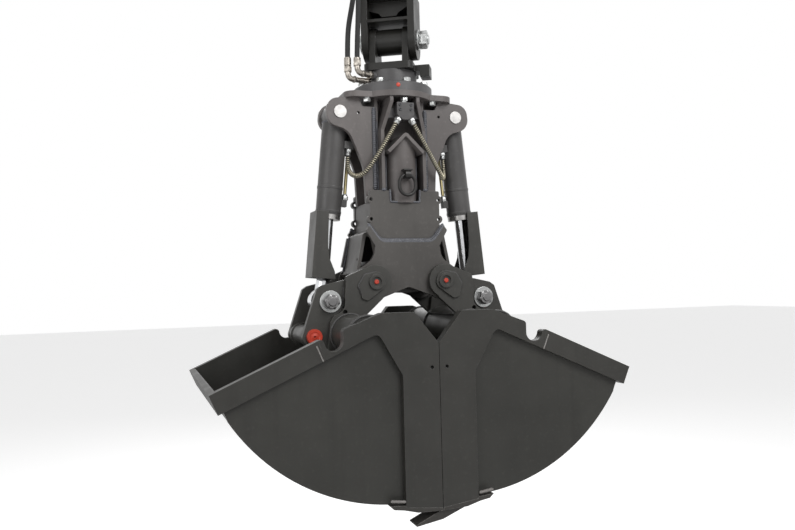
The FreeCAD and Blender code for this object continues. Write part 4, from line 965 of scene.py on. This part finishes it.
def rounded_path(corners: list[tuple[float, float, float]]) -> list[tuple[float, float]]:
    """Points of a flat path whose corners are rounded by the radius given with each.

    Each rounded corner runs along p = (1-t)^2 a + 2t(1-t) c + t^2 b between its two tangent points.

    Args:
        corners: x, z and corner radius in millimetres.
    Returns:
        Pairs of x and z in millimetres.
    """
    spots = np.array(corners, float)
    path = [spots[0, :2]]
    for before, here, after in zip(spots, spots[1:], spots[2:]):
        back, ahead = before[:2] - here[:2], after[:2] - here[:2]
        longest = 0.48 * min(np.linalg.norm(back), np.linalg.norm(ahead))
        back, ahead = back / np.linalg.norm(back), ahead / np.linalg.norm(ahead)
        half = math.acos(float(np.clip(back @ ahead, -1, 1))) / 2
        reach = min(longest, here[2] / math.tan(half)) if here[2] else 0.0
        start, stop = here[:2] + back * reach, here[:2] + ahead * reach
        share = np.linspace(0, 1, 7)[:, None]
        path += list((1 - share) ** 2 * start + 2 * share * (1 - share) * here[:2] + share ** 2 * stop)
    path.append(spots[-1, :2])
    kept = [path[0]] + [b for a, b in zip(path, path[1:]) if np.linalg.norm(b - a) > 0.01]
    return [(float(x), float(z)) for x, z in kept]


@dataclass
class ShellHardware:
    """Bolts, caps and weld beads that ride on each shell."""

    pivot: Triple = (-126.0, 0.0, 0.0)
    rod_pin: Triple = (-279.0, 0.0, -62.0)
    shell_pin: Triple = (-336.0, 0.0, -176.0)
    tube: Triple = (-219.0, 0.0, -170.0)
    washer_face: float = 122.0
    washer_height: float = 6.0
    nut_flats: float = 46.0
    nut_height: float = 24.0
    bolt_radius: float = 15.0
    thread: tuple[float, float] = (28.0, 34.0)
    shank_half: float = 128.0
    spacer: Profile = ((26.0, 29.0), (28.0, 30.0), (28.0, 99.0), (26.0, 100.0))
    big_cap: Profile = ((26.0, 0.0), (26.0, 9.5), (24.5, 12.0), (17.0, 12.0), (15.5, 10.8), (8.0, 10.8),
                        (6.5, 11.6), (4.2, 11.6), (3.6, 7.0))
    small_cap: Profile = ((8.0, 0.0), (8.0, 3.2), (6.5, 4.6), (3.0, 5.0), (2.4, 4.2))
    recess_face: float = 150.0
    flag_face: float = 144.0
    flag_line: Rounded = ((-176.0, -44.0, 0), (-188.0, -12.0, 9), (-166.0, 25.0, 10), (-124.0, 34.0, 0))
    tube_rings: tuple[float, ...] = (141.0, 343.0)
    tube_ring_radius: float = 66.0
    cheek_face: float = 123.0
    cheek_line: Profile = ((-234.0, -14.0), (-235.0, -46.0), (-237.0, -80.0))
    outer_face: float = 376.0
    knife_line: Profile = ((-171.0, -664.5), (-146.0, -668.0), (-123.0, -670.5))
    rim_line: Profile = ((-389.0, -186.0), (-369.0, -233.0))

    def on_face(self, place: Triple, face: float) -> Array:
        """Front-facing matrix on a pin's axis at a distance in front of the middle plane."""
        return facing(at(place[0], -face, place[2]), AHEAD)

    def rod_bolts(self) -> None:
        """Rod pin bolts: spacers, washers, chamfered nuts and threaded ends, front and rear."""
        lifted = facing(np.array([0, 0, self.washer_height / 1000.0]), UP, 17.0)
        front = hex_nut(self.nut_flats, self.nut_height).placed(lifted)
        front.add(threaded_end(self.bolt_radius, *self.thread))
        gathered = front.placed(self.on_face(self.rod_pin, self.washer_face))
        gathered.add(gathered.placed(MIRROR_Y))
        spacer = turned(self.spacer).placed(self.on_face(self.rod_pin, 0.0))
        shank = turned([(self.bolt_radius, -self.shank_half), (self.bolt_radius, self.shank_half)])
        gathered.add(spacer).add(spacer.placed(MIRROR_Y)).add(shank.placed(self.on_face(self.rod_pin, 0.0)))
        pieces = two_sides(gathered, HALF_TURN, "rod_bolt_set", NUT_ZINC, "shell", "zinc_steel")
        for side, piece in pieces.items():
            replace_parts(piece, f"{side.word}_rod_bolt")
        rings = washer(37.0, self.washer_height).placed(self.on_face(self.rod_pin, self.washer_face))
        rings.add(rings.placed(MIRROR_Y))
        two_sides(rings, HALF_TURN, "rod_washers", ZINC, "shell", "zinc_steel")

    def caps(self) -> None:
        """Red caps: dished over the shell pin, small and domed in the pivot pin."""
        gathered = turned(self.big_cap, 48).placed(self.on_face(self.shell_pin, self.washer_face))
        gathered.add(turned(self.small_cap, 32).placed(self.on_face(self.pivot, self.recess_face)))
        gathered.add(gathered.placed(MIRROR_Y))
        pieces = two_sides(gathered, HALF_TURN, "red_caps", RED_CAP, "shell", "cap_plastic")
        for side, piece in pieces.items():
            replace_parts(piece, f"{side.word}_pin_caps")

    def lever_beads(self) -> None:
        """Beads round the cross tube, along the flag plate and between the lever's plates."""
        gathered = face_bead(rounded_path(self.flag_line), self.flag_face, 3.2)
        for face in self.tube_rings:
            ring = circle(at(self.tube[0], -face, self.tube[2]), self.tube_ring_radius, AHEAD)
            gathered.add(bead(ring, 4.0, True))
        gathered.add(face_bead(self.cheek_line, self.cheek_face, 3.0))
        gathered.add(gathered.placed(MIRROR_Y))
        two_sides(gathered, HALF_TURN, "lever_beads", LEVER_WELD, "shell", "dark_paint", 60.0)

    def shell_beads(self) -> None:
        """Worn bright beads at the knife's ends and along the rim's seams."""
        gathered = face_bead(self.knife_line, self.outer_face + 1.0, 4.6)
        gathered.add(face_bead(self.rim_line, self.outer_face, 2.2))
        gathered.add(gathered.placed(MIRROR_Y))
        two_sides(gathered, HALF_TURN, "shell_beads", BARE_WELD, "shell", "dark_paint", 60.0)

    def build(self) -> None:
        """Make all of it."""
        self.rod_bolts()
        self.caps()
        self.lever_beads()
        self.shell_beads()


@dataclass
class FrameHardware:
    """Weld beads, screws and fittings of the frame."""

    lap_line: Rounded = ((-138.0, 192.0, 0), (-96.0, 135.5, 36), (96.0, 135.5, 36), (138.0, 192.0, 0))
    lap_passes: Profile = ((107.0, 7.0), (114.0, 1.0))
    notch_line: Rounded = ((-55.0, 318.0, 0), (-53.0, 275.0, 4), (53.0, 275.0, 4), (55.0, 318.0, 0))
    ear_line: Triple = (95.0, -67.0, 7.5)
    ear_heights: tuple[float, ...] = (320.0, 420.0, 520.0, 607.0)
    post_line: Triple = (85.0, -67.5, 3.0)
    post_heights: tuple[float, ...] = (318.0, 420.0, 520.0, 560.0)
    inner_line: Triple = (56.0, -70.0, 3.0)
    inner_heights: tuple[float, ...] = (320.0, 380.0, 436.0)
    foot: Triple = (76.0, -103.0, 317.0)
    closing_line: Profile = ((178.0, 35.5), (150.0, 54.0), (122.0, 74.0))
    window_line: Profile = ((-152.0, 164.0), (-165.0, 98.0), (-178.0, 40.0))
    bolt_count: int = 8
    bolt_circle: float = 119.0
    first_bolt: float = -84.5
    flange_top: float = 690.0
    under_nut: Triple = (-121.0, -75.0, 638.0)
    screw_x: float = 20.0
    screw_heights: tuple[float, float] = (607.0, 591.0)
    block_face: float = 132.0
    nipple: Triple = (0.0, -118.0, 616.0)
    hose_start: Triple = (-32.0, -120.0, 545.0)
    hose_next: Triple = (-60.0, -119.5, 497.0)
    plug_angles: tuple[float, float] = (-101.0, 79.0)
    plug: Profile = ((7.0, -3.0), (7.0, 1.2), (5.0, 2.4), (2.0, 2.6))

    def beads(self) -> None:
        """Lap bead of the waist, upright beads of the ears, and the beads round the guard tube."""
        lap = rounded_path(self.lap_line)
        gathered = Solid()
        for face, lift in self.lap_passes:
            gathered.add(face_bead([(x, z + lift) for x, z in lap], face, 6.0))
        gathered.add(face_bead(rounded_path(self.notch_line), 104.5, 3.6))
        for side in (-1, 1):
            gathered.add(upright_bead(side, self.ear_line, self.ear_heights))
            x, y, z = self.foot
            gathered.add(bead([at(side * x + across, y, z) for across in (-8.0, 0.0, 8.0)], 6.0))
            gathered.add(upright_bead(side, self.post_line, self.post_heights))
            gathered.add(upright_bead(side, self.inner_line, self.inner_heights))
            gathered.add(face_bead([(side * x, z) for x, z in self.closing_line], 101.0, 4.0))
        gathered.add(gathered.placed(MIRROR_Y))
        gathered.piece("frame_beads", WELD, "frame", "dark_paint", 60.0)

    def arm_beads(self) -> None:
        """Beads where the sloped webs and the window plates meet the waist."""
        gathered = Solid()
        for way in (np.eye(4), MIRROR_X):
            gathered.add(face_bead(self.window_line, -82.0, 3.5).placed(way))
        gathered.piece("window_beads", WELD, "frame", "dark_paint", 60.0)

    def flange_bolts(self) -> None:
        """Hexagon bolts on the flange, and the nuts of four more under the top plate."""
        top = washer(15.0, 2.5).add(hex_nut(24.0, 13.0).placed(facing(np.array([0, 0, 0.0025]), UP)))
        ring = []
        for index in range(self.bolt_count):
            angle = math.radians(self.first_bolt + 360.0 / self.bolt_count * index)
            x, y = self.bolt_circle * math.cos(angle), self.bolt_circle * math.sin(angle)
            ring.append(facing(at(x, y, self.flange_top), UP, 20.0 * index))
        gathered = top.repeated(ring)
        under = top.placed(facing(at(*self.under_nut), DOWN, 10.0))
        gathered.add(under.repeated(FOUR_WAYS))
        gathered.piece("flange_bolts", ZINC, "frame", "zinc_steel")

    def valve_block(self) -> None:
        """Screws, feed fitting and hose nuts of the valve block."""
        screws = Solid()
        for x in (-self.screw_x, self.screw_x):
            for z in self.screw_heights:
                screws.add(socket_screw(5.0, 3.0).placed(facing(at(x, -self.block_face, z), AHEAD)))
        screws.piece("block_screws", BLACK_OXIDE, "frame", "zinc_steel")
        x, y, z = self.nipple
        fitting = hex_nut(25.0, 14.0).placed(facing(at(x, y, z + 5.0), UP))
        fitting.add(turned([(9.8, 0.0), (10.2, 1.0), (10.2, 5.0)]).placed(facing(at(x, y, z), UP)))
        start, following = np.array(self.hose_start), np.array(self.hose_next)
        along = (following - start) / np.linalg.norm(following - start)
        for way in (np.eye(4), MIRROR_X):
            for solid, back in ((hex_nut(23.0, 11.0), 19.0), (ferrule(11.2, 9.0, 2), 8.5)):
                fitting.add(solid.placed(way @ facing(at(*(start - along * back)), tuple(along))))
        fitting.piece("block_fittings", ZINC, "frame", "zinc_steel")

    def plugs(self) -> None:
        """Red plugs on the flange's rim."""
        plug = turned(self.plug, 24)
        gathered = Solid()
        for angle in self.plug_angles:
            turn = math.radians(angle)
            out = (math.cos(turn), math.sin(turn), 0.0)
            gathered.add(plug.placed(facing(at(141.0 * out[0], 141.0 * out[1], 674.0), out)))
        gathered.piece("rim_plugs", RED_CAP, "frame", "cap_plastic")

    def build(self) -> None:
        """Make all of it."""
        self.beads()
        self.arm_beads()
        self.flange_bolts()
        self.valve_block()
        self.plugs()


@dataclass
class CylinderHardware:
    """Pipe, nuts and port fittings of each cylinder, made in the left cylinder's own axes."""

    top: Triple = (-215.0, 0.0, 588.0)
    foot: Triple = (-279.0, 0.0, -62.0)
    pipe_radius: float = 6.0
    pipe_ends: tuple[float, float] = (-296.0, -116.0)
    pipe_place: tuple[float, float] = (0.055, 0.002)
    lower_nut: float = -0.294
    upper_nut: float = -0.118
    nut_collar: Profile = ((9.0, 15.0), (9.0, 19.0), (6.5, 22.0))
    hose_port: Triple = (0.050, -0.022, -0.118)
    hose_nut_height: float = 0.012
    bead_centre: Triple = (0.0, 0.0, -0.0305)
    bead_radius: float = 42.5

    def axes(self) -> Array:
        """Matrix from the cylinder's own axes, z up along it from its upper pin, to the row's.

        Returns:
            The 4 by 4 matrix.
        """
        down = np.array(self.foot) - np.array(self.top)
        turn = math.atan2(-down[0], -down[2])
        matrix = np.eye(4)
        matrix[:3, 0] = (math.cos(turn), 0.0, -math.sin(turn))
        matrix[:3, 2] = (math.sin(turn), 0.0, math.cos(turn))
        matrix[:3, 3] = at(*self.top)
        return matrix

    def build(self) -> None:
        """Make the pipe, its nuts and the hose's nut and ferrule."""
        place = self.axes()
        pipe = turned([(self.pipe_radius, end) for end in self.pipe_ends])
        pipe = pipe.placed(facing(np.array([*self.pipe_place, 0]), UP))
        pieces = two_sides(pipe.placed(place), MIRROR_X, "steel_pipe", YELLOW_ZINC, "cylinder", "yellow_zinc")
        for side, piece in pieces.items():
            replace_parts(piece, f"{side.word}_oil_pipe")
        nuts = Solid()
        for height, axis in ((self.lower_nut, UP), (self.upper_nut, DOWN)):
            end = facing(np.array([*self.pipe_place, height]), axis)
            nuts.add(hex_nut(22.0, 15.0).placed(end))
            nuts.add(turned(self.nut_collar).placed(end))
        port = np.array(self.hose_port)
        nuts.add(hex_nut(23.0, 12.0).placed(facing(port, DOWN)))
        sleeve = facing(port - np.array([0, 0, self.hose_nut_height]), DOWN)
        nuts.add(ferrule(11.2, 10.0, 2).placed(sleeve))
        two_sides(nuts.placed(place), MIRROR_X, "port_nuts", ZINC, "cylinder", "zinc_steel")
        ring = bead(circle(np.array(self.bead_centre), self.bead_radius, UP), 3.2, True)
        two_sides(ring.placed(place), MIRROR_X, "barrel_bead", WELD, "cylinder", "dark_paint", 60.0)


@dataclass
class HeadHardware:
    """Elbows, couplings, hanger nut and housing details of the swivel head and the hanger."""

    feeds: tuple[tuple[Triple, ...], ...]
    yaw: float = -30.0
    pin_height: float = 865.0
    grip: float = 96.0
    pin_radius: float = 22.0
    nut_flats: float = 56.0
    pin_head: Profile = ((36.0, 0.0), (36.0, 12.0), (34.0, 14.0), (16.0, 14.0), (15.0, 12.5), (5.0, 12.5))
    heights: tuple[float, float] = (711.0, 728.0)
    boss_reach: float = 96.0
    bend_radius: float = 18.0
    bend_top: float = 26.0
    body_radius: float = 0.0098
    ferrule_length: float = 27.0
    ear_foot: tuple[Triple, ...] = ((0.071, -0.060, 0.772), (0.071, 0.0, 0.772), (0.071, 0.060, 0.772))
    fork_line: tuple[Triple, ...] = ((0.0705, -0.066, 0.929), (0.0705, 0.0, 0.929), (0.0705, 0.050, 0.929))

    def along_pin(self, side: float, out: float) -> Array:
        """Matrix on the hanger pin's axis, a distance out from the middle, facing out.

        Args:
            side: sign of the end.
            out: distance from the middle in millimetres.
        Returns:
            The 4 by 4 matrix.
        """
        turn = math.radians(self.yaw)
        axis = np.array([math.cos(turn), math.sin(turn), 0.0]) * side
        return facing(at(axis[0] * out, axis[1] * out, self.pin_height), tuple(axis), 11.0)

    def pin(self) -> None:
        """Hanger pin with its washer, chamfered nut and threaded end, and its stepped head."""
        nut = washer(36.0, 7.0)
        nut.add(hex_nut(self.nut_flats, 30.0).placed(facing(np.array([0, 0, 0.007]), UP)))
        nut.add(threaded_end(18.0, 36.0, 42.0, 3.0))
        gathered = nut.placed(self.along_pin(1.0, self.grip))
        gathered.add(turned(self.pin_head, 48).placed(self.along_pin(-1.0, self.grip)))
        shank = turned([(self.pin_radius, -self.grip), (self.pin_radius, self.grip)], 48)
        gathered.add(shank.placed(self.along_pin(1.0, 0.0)))
        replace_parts(gathered.piece("hanger_pin_set", ZINC, "hanger", "zinc_steel"), "hanger_pin")

    def elbows(self) -> None:
        """Hose elbows: a bent body between hexagons, a nut and a crimped ferrule under each hose."""
        gathered = Solid()
        for points, height in zip(self.feeds, self.heights):
            start = np.array(points[0])
            foot = np.array([start[0], start[1], height])
            inward = np.array([-start[0], -start[1], 0.0])
            distance = float(np.linalg.norm(inward))
            inward /= distance
            reach = distance - self.boss_reach
            share = np.linspace(0, np.pi / 2, 9)[:, None]
            upright = np.array([0, 0, self.bend_radius])
            arc = foot + inward * self.bend_radius * (1 - np.sin(share)) + upright * (1 - np.cos(share))
            top = foot + np.array([0, 0, self.bend_top])
            path = np.vstack([foot + inward * (reach - 1.0), arc, top]) / 1000.0
            path[:, 2] -= BORE_HEIGHT / 1000.0
            gathered.add(swept(path, np.full((len(path), 20), self.body_radius)))
            boss = facing(at(*(foot + inward * (reach - 12.0))), tuple(inward))
            gathered.add(hex_nut(24.0, 12.0).placed(boss))
            gathered.add(hex_nut(21.0, 10.0).placed(facing(at(*(foot + inward * 20.0)), tuple(inward))))
            upper_nut = facing(at(start[0], start[1], height + 22.0), UP, 15.0)
            gathered.add(hex_nut(26.0, 18.0).placed(upper_nut))
            upper = start[2] - 28.0
            neck = [(9.0, height + 38.0), (9.0, upper), (12.6, upper + 0.5)]
            gathered.add(turned([(r, z - height) for r, z in neck]).placed(facing(at(*foot), UP)))
            along = (np.array(points[1]) - start) / np.linalg.norm(np.array(points[1]) - start)
            sleeve = facing(at(*(start - along * self.ferrule_length)), tuple(along))
            gathered.add(ferrule(12.9, self.ferrule_length).placed(sleeve))
        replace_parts(gathered.piece("elbow_set", YELLOWED_ZINC, "swivel_head", "zinc_steel"), "hose_elbows")

    def couplings(self) -> None:
        """Crimped ferrules and swivel nuts at the feed hoses' upper ends."""
        gathered = Solid()
        for points in self.feeds:
            before, end = np.array(points[-2]), np.array(points[-1])
            along = (end - before) / np.linalg.norm(end - before)
            gathered.add(ferrule(12.5, 32.0).placed(facing(at(*end), tuple(along))))
            gathered.add(hex_nut(27.0, 18.0).placed(facing(at(*(end + along * 34.0)), tuple(along))))
        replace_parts(gathered.piece("coupling_set", ZINC, "swivel_head", "zinc_steel"), "feed_couplings")

    def beads(self) -> None:
        """Beads at the feet of the head's ears and beside the fork's cross plate."""
        turn = facing(at(0.0, 0.0, 0.0), UP)
        yaw = math.radians(self.yaw)
        turn[:3, 0] = (math.cos(yaw), math.sin(yaw), 0.0)
        turn[:3, 1] = (-math.sin(yaw), math.cos(yaw), 0.0)
        ear = bead([np.array(spot) for spot in self.ear_foot], 4.0)
        ear.add(bead([np.array(spot) for spot in self.fork_line], 3.5))
        gathered = ear.repeated([turn, turn @ MIRROR_X])
        gathered.piece("head_beads", WELD, "swivel_head", "dark_paint", 60.0)

    def build(self) -> None:
        """Make the pin, the elbows and the beads."""
        self.pin()
        self.elbows()
        self.beads()


def main() -> None:
    """Build the scene in order."""
    logging.basicConfig(level=logging.INFO, format="%(name)s: %(message)s")
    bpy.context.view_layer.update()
    Studio().build()
    hoses = Hoses()
    head = HeadHardware(hoses.feeds)
    dress_cad_nodes()
    head.couplings()
    hoses.build()
    head.build()
    FrameHardware().build()
    CylinderHardware().build()
    ShellHardware().build()


if __name__ == "__main__":
    main()
